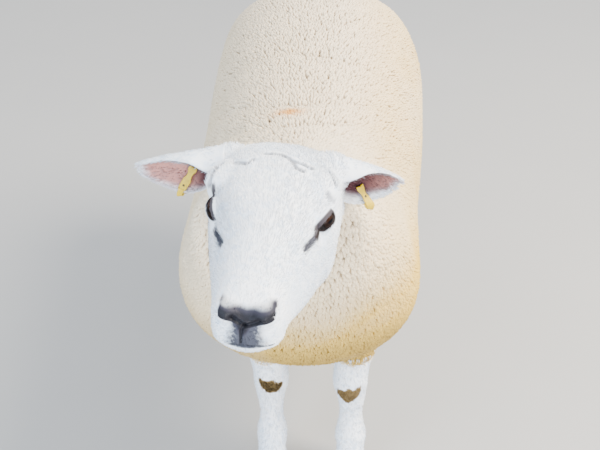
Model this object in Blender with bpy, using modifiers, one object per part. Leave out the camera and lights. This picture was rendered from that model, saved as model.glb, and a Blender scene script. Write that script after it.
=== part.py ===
"""A Texel sheep standing still with its head raised, modelled at life size.

The sheep faces -Y, its left side is at +X, and its hooves stand on Z = 0. Trunk, neck and head are one loft
from the buttocks to the lips. The limbs, the tail and a few muscle masses are joined to it and blended by a
voxel remesh, and the blended body is then parted with thin cuts into the pieces that a person would name.
Ears, eyes, hooves, dewclaws and ear tags are pieces of their own. All surfaces are the outer form, so the
trunk and neck hold the fleece and the head and legs hold their short hair.
"""

import math

import bmesh
import bpy
import numpy as np
from mathutils import Matrix, Vector

# ---- Driving sizes, in metres and degrees ---------------------------------------------------------------

GAP = 0.0004  # left between neighbouring pieces
VOXEL = 0.0075  # of the blended body
BODY_TRIANGLES = 3300
STANCE_SHIFT = 0.004  # how far the feet stand to the left of the middle plane
FRONT_STANCE = 0.0730  # from the feet's own middle to the front cannon bones
HIND_STANCE = 0.098
HEAD_PLACE = Vector((-0.018, -0.452, 0.846))  # midway between the eyes
HEAD_TURN = 4.5  # nose towards the sheep's right
HEAD_DROP = 5.0  # nose below the level
HEAD_TILT = -2.4  # left ear below the right
EYE_RADIUS = 0.0150
EYE_PLACE = (0.0562, 0.004, 0.005)  # sideways, forward and up on the head
COLLECTION = bpy.data.collections.new("sheep")
HELPERS = bpy.data.collections.new("cutters")

# ---- The head's own axes --------------------------------------------------------------------------------


def head_axes():
    """Three unit vectors: to the sheep's left, towards its nose, and out of its forehead."""
    turn = Matrix.Rotation(math.radians(-HEAD_TURN), 3, "Z")
    drop = Matrix.Rotation(math.radians(HEAD_DROP), 3, "X")
    tilt = Matrix.Rotation(math.radians(-HEAD_TILT), 3, "Y")
    whole = turn @ drop @ tilt
    return whole @ Vector((1, 0, 0)), whole @ Vector((0, -1, 0)), whole @ Vector((0, 0, 1))


HEAD_LEFT, HEAD_FORWARD, HEAD_UP = head_axes()


def on_head(left, forward, up):
    """A place given on the head, measured from midway between the eyes."""
    return HEAD_PLACE + HEAD_LEFT * left + HEAD_FORWARD * forward + HEAD_UP * up


# ---- Making and joining meshes --------------------------------------------------------------------------


def add_object(name, mesh, collection=HELPERS):
    data = bpy.data.meshes.new(name)
    mesh.to_mesh(data)
    mesh.free()
    made = bpy.data.objects.new(name, data)
    collection.objects.link(made)
    made.hide_render = collection is HELPERS
    return made


def catmull_rom(rows, steps):
    """A smooth line through the rows: each row is met, and between two rows the line leaves one in the
    direction from its forerunner to its follower."""
    rows = np.asarray(rows, float)
    ends = np.vstack([2 * rows[0] - rows[1], rows, 2 * rows[-1] - rows[-2]])
    t = np.linspace(0, len(rows) - 1, (len(rows) - 1) * steps + 1)
    i = np.minimum(t.astype(int), len(rows) - 2)
    s = (t - i)[:, None]
    a, b, c, d = ends[i], ends[i + 1], ends[i + 2], ends[i + 3]
    return 0.5 * (2 * b + (c - a) * s + (2 * a - 5 * b + 4 * c - d) * s**2 + (3 * b - a - 3 * c + d) * s**3)


def tube(name, rings, collection=HELPERS, leaf=False):
    """A closed mesh through rings of equally many points. An end ring is closed by a fan. On a leaf, whose
    rings run out along one face and back along the other, it is closed by quads between the two runs."""
    rings = np.asarray(rings, float)
    around = rings.shape[1]
    mesh = bmesh.new()
    rows = [[mesh.verts.new(point) for point in ring] for ring in rings]
    for row, following in zip(rows, rows[1:]):
        for k in range(around):
            j = (k + 1) % around
            mesh.faces.new((row[k], row[j], following[j], following[k]))
    for row, ring in ((rows[0], rings[0]), (rows[-1], rings[-1])):
        if leaf:
            for k in range(around // 2 - 1):
                mesh.faces.new((row[k], row[k + 1], row[around - 2 - k], row[around - 1 - k]))
            continue
        middle = mesh.verts.new(ring.mean(0))
        for k in range(around):
            mesh.faces.new((row[k], row[(k + 1) % around], middle))
    bmesh.ops.recalc_face_normals(mesh, faces=mesh.faces)
    return add_object(name, mesh, collection)


def evaluated(source, name, collection=HELPERS):
    """A new object holding the source's mesh with its modifiers applied."""
    bpy.context.view_layer.update()
    data = bpy.data.meshes.new_from_object(source.evaluated_get(bpy.context.evaluated_depsgraph_get()))
    data.name = name
    made = bpy.data.objects.new(name, data)
    made.matrix_world = source.matrix_world
    collection.objects.link(made)
    made.hide_render = collection is HELPERS
    return made


def boolean(name, source, other, operation, collection=HELPERS):
    """The source joined to, cut by or kept inside the other, as a new object."""
    modifier = source.modifiers.new(operation.lower(), "BOOLEAN")
    modifier.operation = operation
    modifier.object = other
    made = evaluated(source, name, collection)
    source.modifiers.remove(modifier)
    return made


def inflated(source, by):
    """A copy of the source grown along its normals, which cuts a neighbour back to leave a gap."""
    modifier = source.modifiers.new("grow", "DISPLACE")
    modifier.strength = by
    modifier.mid_level = 0
    made = evaluated(source, source.name + "_grown")
    source.modifiers.remove(modifier)
    return made


# ---- Trunk, neck and head -------------------------------------------------------------------------------
# Each station is a section across the body: the back's y and z, the belly's y and z, the half width, how
# square the section is (2 is an ellipse), how much wider it is above than below, and how far it stands to
# the left of the middle plane.

TRUNK_STATIONS = [
    (0.738, 0.590, 0.738, 0.500, 0.070, 2.0, 0.00, 0.000),
    (0.728, 0.632, 0.733, 0.455, 0.135, 2.2, 0.00, 0.000),
    (0.694, 0.683, 0.708, 0.398, 0.179, 2.3, 0.03, -0.002),
    (0.633, 0.717, 0.648, 0.350, 0.199, 2.4, 0.04, -0.004),
    (0.532, 0.729, 0.550, 0.330, 0.210, 2.4, 0.00, 0.001),
    (0.420, 0.721, 0.430, 0.316, 0.210, 2.4, -0.03, 0.000),
    (0.286, 0.711, 0.286, 0.301, 0.204, 2.4, -0.04, -0.002),
    (0.150, 0.708, 0.120, 0.297, 0.195, 2.4, -0.06, -0.007),
    (0.030, 0.714, -0.022, 0.305, 0.192, 2.3, -0.10, -0.008),
    (-0.060, 0.728, -0.116, 0.345, 0.188, 2.1, -0.14, -0.009),
    (-0.130, 0.756, -0.196, 0.422, 0.172, 1.95, -0.11, -0.007),
    (-0.195, 0.789, -0.254, 0.520, 0.146, 2.0, -0.08, -0.012),
    (-0.256, 0.820, -0.300, 0.612, 0.120, 2.1, -0.06, -0.018),
]
# On the head, a station gives forward, top, bottom, half width, squareness and widening.
HEAD_STATIONS = [
    (-0.145, -0.004, -0.138, 0.090, 2.1, 0.00),
    (-0.112, 0.022, -0.125, 0.079, 2.4, 0.00),
    (-0.075, 0.044, -0.121, 0.076, 2.5, 0.00),
    (-0.035, 0.053, -0.119, 0.0755, 2.6, -0.01),
    (0.005, 0.051, -0.113, 0.0690, 2.6, -0.04),
    (0.045, 0.043, -0.101, 0.0595, 2.5, -0.10),
    (0.085, 0.033, -0.084, 0.0500, 2.4, -0.12),
    (0.118, 0.023, -0.068, 0.0430, 2.3, -0.08),
    (0.143, 0.012, -0.060, 0.0395, 2.3, -0.03),
    (0.159, -0.001, -0.055, 0.0330, 2.2, 0.00),
    (0.168, -0.013, -0.047, 0.0210, 2.0, 0.00),
    (0.171, -0.024, -0.038, 0.0090, 2.0, 0.00),
]
RINGS_PER_STATION = 5
BODY_RING_POINTS = 48


def body_loft():
    """Each ring is a superellipse between the back line and the belly line, whose sideways axis turns from
    the trunk's to the head's."""
    rows = []
    for back_y, back_z, belly_y, belly_z, half, square, widen, left in TRUNK_STATIONS:
        rows.append([left, back_y, back_z, left, belly_y, belly_z, half, square, widen, 1, 0, 0])
    for forward, top, bottom, half, square, widen in HEAD_STATIONS:
        back, belly = on_head(0, forward, top), on_head(0, forward, bottom)
        rows.append([*back, *belly, half, square, widen, *HEAD_LEFT])
    angle = np.linspace(0, 2 * math.pi, BODY_RING_POINTS, endpoint=False)
    cos, sin = np.cos(angle), np.sin(angle)
    rings = []
    for row in catmull_rom(rows, RINGS_PER_STATION):
        back, belly, side = row[0:3], row[3:6], row[9:12] / np.linalg.norm(row[9:12])
        half, square, widen = row[6:9]
        middle, rise = (back + belly) / 2, (back - belly) / 2
        across = np.sign(cos) * np.abs(cos) ** (2 / square) * half * (1 + widen * sin)
        along = np.sign(sin) * np.abs(sin) ** (2 / square)
        rings.append(middle + across[:, None] * side + along[:, None] * rise)
    return tube("body_loft", rings)


def swelling(name, place, radii):
    """A muscle or bony swelling of the head: a sphere stretched along the head's three axes."""
    mesh = bmesh.new()
    bmesh.ops.create_uvsphere(mesh, u_segments=24, v_segments=16, radius=1)
    bmesh.ops.scale(mesh, vec=radii, verts=mesh.verts)
    turn = Matrix((HEAD_LEFT, HEAD_FORWARD, HEAD_UP)).transposed()
    bmesh.ops.rotate(mesh, matrix=turn, cent=(0, 0, 0), verts=mesh.verts)
    bmesh.ops.translate(mesh, vec=on_head(*place), verts=mesh.verts)
    return add_object(name, mesh)


def head_swellings():
    made = [swelling("chin", (0, 0.133, -0.055), (0.023, 0.025, 0.014))]
    for side in (-1, 1):
        made.append(swelling("brow", (side * 0.048, -0.026, 0.018), (0.029, 0.032, 0.027)))
        made.append(swelling("cheek", (side * 0.042, -0.034, -0.066), (0.032, 0.058, 0.050)))
        made.append(swelling("lip", (side * 0.019, 0.139, -0.035), (0.021, 0.027, 0.021)))
        made.append(swelling("nostril_wing", (side * 0.020, 0.150, -0.004), (0.014, 0.018, 0.012)))
        made.append(swelling("ear_root", (side * 0.058, -0.088, 0.004), (0.027, 0.027, 0.025)))
    return made


# ---- Limbs and tail -------------------------------------------------------------------------------------
# Each station is a level section across the limb: x, y, z, and the half sizes along x and y.

FRONT_LEG = [
    (0.100, 0.024, 0.480, 0.058, 0.088),
    (0.100, 0.020, 0.410, 0.058, 0.078),
    (0.092, 0.014, 0.350, 0.050, 0.064),
    (0.080, 0.006, 0.295, 0.038, 0.047),
    (0.073, -0.002, 0.250, 0.0320, 0.037),
    (0.071, -0.004, 0.215, 0.0320, 0.035),
    (FRONT_STANCE, 0.001, 0.180, 0.0265, 0.0285),
    (FRONT_STANCE, 0.004, 0.140, 0.0222, 0.0250),
    (FRONT_STANCE, 0.003, 0.112, 0.0245, 0.0270),
    (FRONT_STANCE, -0.001, 0.087, 0.0295, 0.0315),
    (FRONT_STANCE, -0.013, 0.063, 0.0265, 0.0285),
    (FRONT_STANCE, -0.022, 0.044, 0.0290, 0.0350),
    (FRONT_STANCE, -0.026, 0.026, 0.0280, 0.0360),
    (FRONT_STANCE, -0.028, 0.008, 0.0270, 0.0350),
]
HIND_LEG = [
    (0.105, 0.550, 0.560, 0.090, 0.140),
    (0.122, 0.570, 0.480, 0.086, 0.140),
    (0.128, 0.590, 0.400, 0.074, 0.112),
    (0.120, 0.622, 0.335, 0.052, 0.076),
    (0.109, 0.657, 0.285, 0.035, 0.051),
    (0.103, 0.672, 0.248, 0.0300, 0.0410),
    (0.101, 0.667, 0.208, 0.0255, 0.0310),
    (HIND_STANCE, 0.654, 0.155, 0.0222, 0.0255),
    (HIND_STANCE, 0.645, 0.115, 0.0245, 0.0270),
    (HIND_STANCE, 0.638, 0.088, 0.0290, 0.0305),
    (HIND_STANCE, 0.626, 0.063, 0.0260, 0.0280),
    (HIND_STANCE, 0.618, 0.044, 0.0285, 0.0345),
    (HIND_STANCE, 0.615, 0.026, 0.0275, 0.0355),
    (HIND_STANCE, 0.613, 0.008, 0.0265, 0.0345),
]
TAIL = [
    (0.0, 0.678, 0.662, 0.040, 0.030),
    (0.0, 0.724, 0.640, 0.038, 0.030),
    (0.0, 0.751, 0.598, 0.036, 0.027),
    (0.0, 0.758, 0.548, 0.033, 0.024),
    (0.0, 0.757, 0.510, 0.024, 0.018),
    (0.0, 0.756, 0.500, 0.010, 0.008),
]


def limb(name, stations, side=1, shift=0.0, points=28, steps=RINGS_PER_STATION):
    """A tube of level ellipses through the stations, on the left for side 1 and on the right for -1."""
    angle = np.linspace(0, 2 * math.pi, points, endpoint=False)
    rings = []
    for x, y, z, half_x, half_y in catmull_rom(stations, steps):
        across = side * x + shift + np.cos(angle) * half_x
        rings.append(np.stack([across, y + np.sin(angle) * half_y, np.full(points, z)], 1))
    return tube(name, rings)


# ---- The blended body -----------------------------------------------------------------------------------


def smoothing_weight(points):
    """How strongly the blend is smoothed: fully on the trunk and neck, and little on the head and legs."""
    trunk = np.clip((points[:, 2] - 0.29) / 0.06, 0, 1)
    from_head = np.linalg.norm(points - np.array(on_head(0, 0.02, -0.03)), axis=1)
    away = np.clip((from_head - 0.13) / 0.07, 0, 1)
    return 0.12 + 0.88 * trunk * away


def blended_body(pieces):
    """All masses in one mesh, made one skin by a voxel remesh, smoothed and thinned to few triangles."""
    joined = bmesh.new()
    for piece in pieces:
        joined.from_mesh(piece.data)
    body = add_object("blend", joined)
    remesh = body.modifiers.new("remesh", "REMESH")
    remesh.mode = "VOXEL"
    remesh.voxel_size = VOXEL
    body = evaluated(body, "skin")
    group = body.vertex_groups.new(name="smooth")
    points = np.empty(len(body.data.vertices) * 3)
    body.data.vertices.foreach_get("co", points)
    for index, weight in enumerate(smoothing_weight(points.reshape(-1, 3))):
        group.add([index], weight, "REPLACE")
    smooth = body.modifiers.new("smooth", "SMOOTH")
    smooth.factor = 0.5
    smooth.iterations = 14
    smooth.vertex_group = "smooth"
    thin = body.modifiers.new("thin", "DECIMATE")
    thin.ratio = BODY_TRIANGLES / (2 * len(body.data.polygons))
    thin.use_collapse_triangulate = True
    return evaluated(body, "body")


# ---- Parting the body -----------------------------------------------------------------------------------
# A cut is a solid that holds one piece: the piece is what lies inside it, and the rest is what lies outside
# a slightly larger one.

NECK_CUT_PLACE = (-0.015, -0.128, 0.60)  # the shoulder, between the withers and the brisket
NECK_CUT_NORMAL = (0, -0.88, 0.47)
FRONT_COLUMN = (0.080, 0.004, 0.078, 0.090, 0.345)  # x, y, half x, half y and top of each leg's column
HIND_COLUMN = (0.108, 0.632, 0.085, 0.100, 0.375)
COLUMN_DOME = 0.045


def half_space(name, point, normal):
    """A great block whose one face goes through the point and whose inside is on the normal's side."""
    mesh = bmesh.new()
    bmesh.ops.create_cube(mesh, size=3)
    bmesh.ops.translate(mesh, vec=(0, 0, 1.5), verts=mesh.verts)
    turn = Vector((0, 0, 1)).rotation_difference(Vector(normal)).to_matrix()
    bmesh.ops.rotate(mesh, matrix=turn, cent=(0, 0, 0), verts=mesh.verts)
    bmesh.ops.translate(mesh, vec=point, verts=mesh.verts)
    return add_object(name, mesh)


def split_by_plane(body, point, normal):
    """The piece on the normal's side of a plane, and what is left on its other side."""
    point, step = Vector(point), Vector(normal).normalized() * GAP / 2
    piece = boolean("piece", body, half_space("cut", point + step, normal), "INTERSECT")
    return piece, boolean("rest", body, half_space("cut", point - step, normal), "DIFFERENCE")


def split_by_region(body, region):
    """The piece inside a region, and what is left outside it."""
    piece = boolean("piece", body, region, "INTERSECT")
    return piece, boolean("rest", body, inflated(region, GAP), "DIFFERENCE")


def keep(piece, name):
    """Moves a finished piece from the helpers to the sheep."""
    HELPERS.objects.unlink(piece)
    COLLECTION.objects.link(piece)
    piece.hide_render = False
    piece.name = name


def leg_region(side, x, y, half_x, half_y, top):
    """An upright column round one leg, with a domed top inside the fleece."""
    shoulder = top - COLUMN_DOME
    rows = [(x, y, -0.1, half_x, half_y), (x, y, shoulder, half_x, half_y)]
    for step in (0.45, 0.80, 0.99):
        narrow = math.sqrt(1 - step**2)
        rows.append((x, y, shoulder + COLUMN_DOME * step, half_x * narrow, half_y * narrow))
    return limb("leg_region", rows, side, STANCE_SHIFT, points=16, steps=1)


def tail_region():
    grown = [(x, y + 0.004, z, half_x + 0.004, half_y + 0.004) for x, y, z, half_x, half_y in TAIL]
    return limb("tail_region", grown, points=14, steps=1)


# ---- Ears -----------------------------------------------------------------------------------------------
# An ear is a leaf curled about its length. Along it the place goes from 0 at the root to 1 at the tip, and
# across it from -1 at the upper edge to 1 at the lower edge.

EAR_LENGTH = 0.1225
EAR_THICKNESS = 0.0046
EAR_ROOT = {1: (0.048, -0.094, 0.026), -1: (0.057, -0.094, 0.024)}  # outward, forward and up, left and right
EAR_AIM = {1: (0.795, -0.39, -0.475), -1: (0.985, 0.04, -0.245)}
EAR_FACING = (0.20, 0.62, -0.62)  # the way that the opening faces, before its twist
# Place along, half breadth measured round the curl, curl at the edge in radians, sag, twist of the opening
# downward in degrees, and fall of the middle towards the lower edge.
EAR_STATIONS = [
    (0.06, 0.0445, 2.52, 0.000, 11, 0.0005),
    (0.12, 0.0450, 2.45, 0.000, 8, 0.0010),
    (0.24, 0.0460, 2.10, 0.000, -4, 0.0035),
    (0.36, 0.0460, 1.78, 0.000, -22, 0.0090),
    (0.48, 0.0435, 1.55, 0.001, -27, 0.0130),
    (0.60, 0.0390, 1.40, 0.002, -28, 0.0142),
    (0.72, 0.0320, 1.30, 0.002, -27, 0.0142),
    (0.84, 0.0235, 1.20, 0.001, -25, 0.0130),
    (0.94, 0.0140, 1.10, 0.000, -22, 0.0120),
    (1.00, 0.0036, 0.95, -0.001, -20, 0.0112),
]
EAR_ACROSS = 10


def ear_axes(side):
    """Root, direction to the tip, direction to the lower edge, and the way that the opening faces."""
    outward, forward, upward = EAR_ROOT[side]
    root = on_head(side * outward, forward, upward)
    outward, forward, upward = EAR_AIM[side]
    tip = HEAD_LEFT * side * outward + HEAD_FORWARD * forward + HEAD_UP * upward
    outward, forward, upward = EAR_FACING
    facing = HEAD_LEFT * side * outward + HEAD_FORWARD * forward + HEAD_UP * upward
    along = tip.normalized()
    facing = (facing - along * facing.dot(along)).normalized()
    lower = along.cross(facing) * side
    return root, along, lower, facing


def ear_point(side, row, across, offset):
    """A point of the curled leaf, moved by offset towards the inside of the curl."""
    place, half, curl, sag, twist, fall = row
    root, along, lower, facing = ear_axes(side)
    cos, sin = math.cos(math.radians(twist)), math.sin(math.radians(twist))
    lower, facing = lower * cos - facing * sin, facing * cos + lower * sin
    radius = half / curl
    angle = curl * across
    out = (radius - offset) * math.sin(angle) + fall
    rise = radius - (radius - offset) * math.cos(angle) - sag
    return root + along * (place * EAR_LENGTH) + lower * out + facing * rise


def ear(side, head):
    rings = []
    across = np.linspace(-1, 1, EAR_ACROSS)
    for row in EAR_STATIONS:
        thick = min(EAR_THICKNESS / 2, row[1] * 0.45)
        outer = [ear_point(side, row, t, -thick * (1 - 0.55 * abs(t) ** 3)) for t in across]
        inner = [ear_point(side, row, t, thick * (1 - 0.55 * abs(t) ** 3)) for t in across[::-1]]
        rings.append(outer + inner)
    leaf = tube("leaf", rings, leaf=True)
    return boolean("leaf_cut", leaf, inflated(head, GAP), "DIFFERENCE")


# ---- Ear tags -------------------------------------------------------------------------------------------
# A tag is one plastic strip folded round the ear's lower edge and pinned through the ear near that edge.

TAG_WIDTH = 0.010
TAG_THICKNESS = 0.0020
# Place along the ear at the pin, lean of the strip towards the tip, where the front flap starts across the
# ear, drop of the fold below the ear's edge, and how far the back flap stands towards the tip.
TAG_SETTINGS = {1: (0.625, 0.13, 0.36, 0.0085, 0.006), -1: (0.555, 0.20, 0.20, 0.0060, -0.001)}
TAG_END = 0.45  # across the ear, of the back flap
TAG_CLEARANCE = 0.0050  # from the middle of the ear's wall to the middle of each flap
TAG_BOW = 0.35  # share of the ear's own curve that the stiff front flap takes
PIN_ACROSS = 0.88
PIN_RADIUS = 0.0022
STUD_RADIUS = 0.0046


def tag_point(side, across, offset):
    """A point on the ear where the tag crosses it, which lies nearer the tip towards the lower edge."""
    place = TAG_SETTINGS[side][0] + TAG_SETTINGS[side][1] * (across - PIN_ACROSS)
    columns = list(zip(*EAR_STATIONS))
    row = [float(np.interp(place, columns[0], column)) for column in columns]
    return ear_point(side, row, across, offset)


def front_flap(side, across):
    """The front flap bows between the ear's curve and the straight line from its end to the ear's edge."""
    start = TAG_SETTINGS[side][2]
    share = (across - start) / (1 - start)
    first, last = tag_point(side, start, TAG_CLEARANCE), tag_point(side, 1, TAG_CLEARANCE)
    return tag_point(side, across, TAG_CLEARANCE) * TAG_BOW + (first + (last - first) * share) * (1 - TAG_BOW)


def tag_path(side):
    """Places down the front flap, round the fold and up the back flap."""
    start, drop, skew = TAG_SETTINGS[side][2:]
    aside = ear_axes(side)[1] * skew
    path = [front_flap(side, t) for t in np.linspace(start, 1, 6)]
    rim = tag_point(side, 1, 0)
    beyond = (path[-1] - path[-3]).normalized()
    inward = (path[-1] - rim).normalized()
    for turn in np.radians((90, 50, 0, -50, -90)):
        bend = beyond * (drop - TAG_CLEARANCE * (1 - math.cos(turn)))
        path.append(rim + bend + inward * TAG_CLEARANCE * math.sin(turn) + aside * (1 - math.sin(turn)) / 2)
    path += [tag_point(side, t, -TAG_CLEARANCE) + aside for t in np.linspace(1, TAG_END, 4)]
    return path


def cylinder(name, start, end, radius):
    mesh = bmesh.new()
    length = (end - start).length
    bmesh.ops.create_cone(mesh, cap_ends=True, segments=10, radius1=radius, radius2=radius, depth=length)
    turn = Vector((0, 0, 1)).rotation_difference(end - start).to_matrix()
    bmesh.ops.rotate(mesh, matrix=turn, cent=(0, 0, 0), verts=mesh.verts)
    bmesh.ops.translate(mesh, vec=(start + end) / 2, verts=mesh.verts)
    return add_object(name, mesh)


def tag(side, ear_made):
    """The strip with its pin and stud, and the ear with the pin's hole."""
    path = tag_path(side)
    along = ear_axes(side)[1]
    rings = []
    for k, place in enumerate(path):
        heading = (path[min(k + 1, len(path) - 1)] - path[max(k - 1, 0)]).normalized()
        wide = (along - heading * along.dot(heading)).normalized() * TAG_WIDTH / 2
        thick = heading.cross(wide).normalized() * TAG_THICKNESS / 2
        rings.append([place + wide + thick, place + wide - thick, place - wide - thick, place - wide + thick])
    strip = tube("strip", rings)
    front = front_flap(side, PIN_ACROSS)
    back = tag_point(side, PIN_ACROSS, -TAG_CLEARANCE) + ear_axes(side)[1] * TAG_SETTINGS[side][4]
    out = (front - back).normalized()
    pin = cylinder("pin", back, front, PIN_RADIUS)
    stud = cylinder("stud", front, front + out * (TAG_THICKNESS / 2 + 0.0014), STUD_RADIUS)
    button = cylinder("button", back, back - out * (TAG_THICKNESS / 2 + 0.0014), STUD_RADIUS)
    whole = boolean("tagged", boolean("pinned", strip, pin, "UNION"), stud, "UNION")
    word = "left" if side > 0 else "right"
    boolean("tag_" + word, whole, button, "UNION", COLLECTION)
    hole = cylinder("hole", back, front, PIN_RADIUS + GAP)
    boolean("ear_" + word, ear_made, hole, "DIFFERENCE", COLLECTION)


# ---- Feet -----------------------------------------------------------------------------------------------
# A foot is placed by its middle on the floor. On it, forward is towards the toe and across is from the
# middle line outward.

CORONET_TOE = 0.046  # height of the hair's edge at the toe
CORONET_HEEL = 0.027
FOOT_TOE = 0.042  # forward
FOOT_HEEL = -0.031
CLAW_GAP = 0.0016  # from the foot's middle line to each claw's inner wall
CLAW_WIDTH_SOLE = 0.0270
CLAW_WIDTH_TOP = 0.0255
CLAW_RING_POINTS = 12
CLAW_LEVELS = [  # share of the height, toe, heel, width
    (0.00, FOOT_TOE - 0.0020, FOOT_HEEL + 0.0015, CLAW_WIDTH_SOLE - 0.0012),
    (0.06, FOOT_TOE, FOOT_HEEL, CLAW_WIDTH_SOLE),
    (0.40, 0.0370, -0.0305, 0.0268),
    (0.75, 0.0310, -0.0290, 0.0262),
    (1.00, 0.0270, -0.0275, CLAW_WIDTH_TOP),
]
DEWCLAW_SIZE = (0.0070, 0.0068, 0.0100)


def coronet(forward):
    """Height of the edge between hair and horn, which falls from the toe to the heel."""
    share = (forward - FOOT_HEEL) / (FOOT_TOE - FOOT_HEEL)
    return CORONET_HEEL + (CORONET_TOE - CORONET_HEEL) * share


def claw(name, foot_x, foot_y, outward):
    """Half a hoof: a D in plan, flat towards its neighbour, narrowing to the toe, rising to the coronet."""
    rings = []
    for share, toe, heel, width in CLAW_LEVELS:
        ring = []
        for angle in np.linspace(0, 2 * math.pi, CLAW_RING_POINTS, endpoint=False):
            cos, sin = math.cos(angle), math.sin(angle)
            square = 2.3 if cos > 0 else 6.0
            across = 0.5 + 0.5 * math.copysign(abs(cos) ** (2 / square), cos)
            across *= 1 - 0.34 * max(sin, 0) ** 3
            forward = (toe + heel) / 2 + (toe - heel) / 2 * math.copysign(abs(sin) ** (2 / 2.2), sin)
            height = share * (coronet(forward) - GAP)
            ring.append((foot_x + outward * (CLAW_GAP + across * width), foot_y - forward, height))
        rings.append(ring)
    return tube(name, rings, COLLECTION)


def dewclaw(name, x, y, z):
    mesh = bmesh.new()
    bmesh.ops.create_uvsphere(mesh, u_segments=7, v_segments=5, radius=1)
    bmesh.ops.scale(mesh, vec=DEWCLAW_SIZE, verts=mesh.verts)
    bmesh.ops.rotate(mesh, matrix=Matrix.Rotation(math.radians(25), 3, "X"), cent=(0, 0, 0), verts=mesh.verts)
    bmesh.ops.translate(mesh, vec=(x, y, z), verts=mesh.verts)
    return add_object(name, mesh, COLLECTION)


def finish_leg(leg, name, stations, side):
    """Adds the claws and dewclaws of one leg, and cuts the leg to make room for them."""
    ground_x, ground_y = stations[-2][0] * side + STANCE_SHIFT, stations[-2][1]
    fetlock_y, fetlock_z = stations[-5][1], stations[-5][2]
    slope = (CORONET_TOE - CORONET_HEEL) / (FOOT_TOE - FOOT_HEEL)
    below = half_space("below", (ground_x, ground_y, coronet(0)), (0, -slope, -1))
    leg = boolean("leg_cut", leg, below, "DIFFERENCE")
    for word, outward in (("inner", -side), ("outer", side)):
        claw(name.replace("leg", "claw") + "_" + word, ground_x, ground_y, outward)
        place = (ground_x + outward * 0.0155, fetlock_y + 0.0240, fetlock_z - 0.012)
        spur = dewclaw(name.replace("leg", "dewclaw") + "_" + word, *place)
        leg = boolean("leg_cut", leg, inflated(spur, GAP), "DIFFERENCE")
    keep(leg, name)


# ---- Eyes -----------------------------------------------------------------------------------------------


def eye(side):
    mesh = bmesh.new()
    bmesh.ops.create_uvsphere(mesh, u_segments=14, v_segments=9, radius=EYE_RADIUS)
    bmesh.ops.translate(mesh, vec=on_head(side * EYE_PLACE[0], *EYE_PLACE[1:]), verts=mesh.verts)
    return add_object("eye_left" if side > 0 else "eye_right", mesh, COLLECTION)


# ---- Surfaces -------------------------------------------------------------------------------------------

SURFACES = [  # word in the piece's name, colour, roughness
    ("dewclaw", (0.16, 0.13, 0.10), 0.60),
    ("claw", (0.14, 0.12, 0.10), 0.55),
    ("ear", (0.70, 0.62, 0.57), 0.85),
    ("eye", (0.06, 0.03, 0.015), 0.08),
    ("tag", (0.80, 0.58, 0.03), 0.45),
    ("head", (0.78, 0.75, 0.70), 0.85),
    ("leg", (0.72, 0.67, 0.58), 0.85),
    ("neck", (0.62, 0.55, 0.44), 0.95),
    ("trunk", (0.60, 0.53, 0.43), 0.95),
    ("tail", (0.60, 0.53, 0.43), 0.95),
]


def give_surface(piece):
    colour, roughness = next((c, r) for word, c, r in SURFACES if word in piece.name)
    surface = bpy.data.materials.new(piece.name + "_surface")
    surface.use_nodes = True
    shader = surface.node_tree.nodes["Principled BSDF"]
    shader.inputs["Base Color"].default_value = (*colour, 1)
    shader.inputs["Roughness"].default_value = roughness
    piece.data.materials.clear()
    piece.data.materials.append(surface)


# ---- The sheep ------------------------------------------------------------------------------------------


def place_on_origin(pieces):
    """Moves all pieces together, the middle of their bounds over the origin and the soles on Z = 0."""
    corners = np.array([tuple(vertex.co) for piece in pieces for vertex in piece.data.vertices])
    low, high = corners.min(0), corners.max(0)
    shift = Vector((-(low[0] + high[0]) / 2, -(low[1] + high[1]) / 2, -low[2]))
    for piece in pieces:
        piece.data.transform(Matrix.Translation(shift))


def main():
    for old in list(bpy.data.objects):
        bpy.data.objects.remove(old)
    for collection in (COLLECTION, HELPERS):
        bpy.context.scene.collection.children.link(collection)
    HELPERS.hide_render = True
    masses = [body_loft(), limb("tail_mass", TAIL), *head_swellings()]
    for side in (-1, 1):
        masses.append(limb("front_leg_mass", FRONT_LEG, side, STANCE_SHIFT))
        masses.append(limb("hind_leg_mass", HIND_LEG, side, STANCE_SHIFT))
    body = blended_body(masses)

    head, rest = split_by_plane(body, on_head(0, -0.128, -0.05), HEAD_FORWARD)
    neck, rest = split_by_plane(rest, NECK_CUT_PLACE, NECK_CUT_NORMAL)
    keep(neck, "neck")
    tail, rest = split_by_region(rest, tail_region())
    keep(tail, "tail")
    for word, side in (("right", -1), ("left", 1)):
        for pair, stations, column in (("front", FRONT_LEG, FRONT_COLUMN), ("hind", HIND_LEG, HIND_COLUMN)):
            leg, rest = split_by_region(rest, leg_region(side, *column))
            finish_leg(leg, f"leg_{pair}_{word}", stations, side)
    keep(rest, "trunk")

    for side in (-1, 1):
        tag(side, ear(side, head))
    for side in (-1, 1):
        head = boolean("head_cut", head, inflated(eye(side), GAP), "DIFFERENCE")
    keep(head, "head")

    pieces = list(COLLECTION.objects)
    for piece in pieces:
        give_surface(piece)
    place_on_origin(pieces)


main()
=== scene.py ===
"""A Texel sheep standing with its head raised: skin, fleece, short hair, eyes, hooves and ear tags."""

import math

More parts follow.
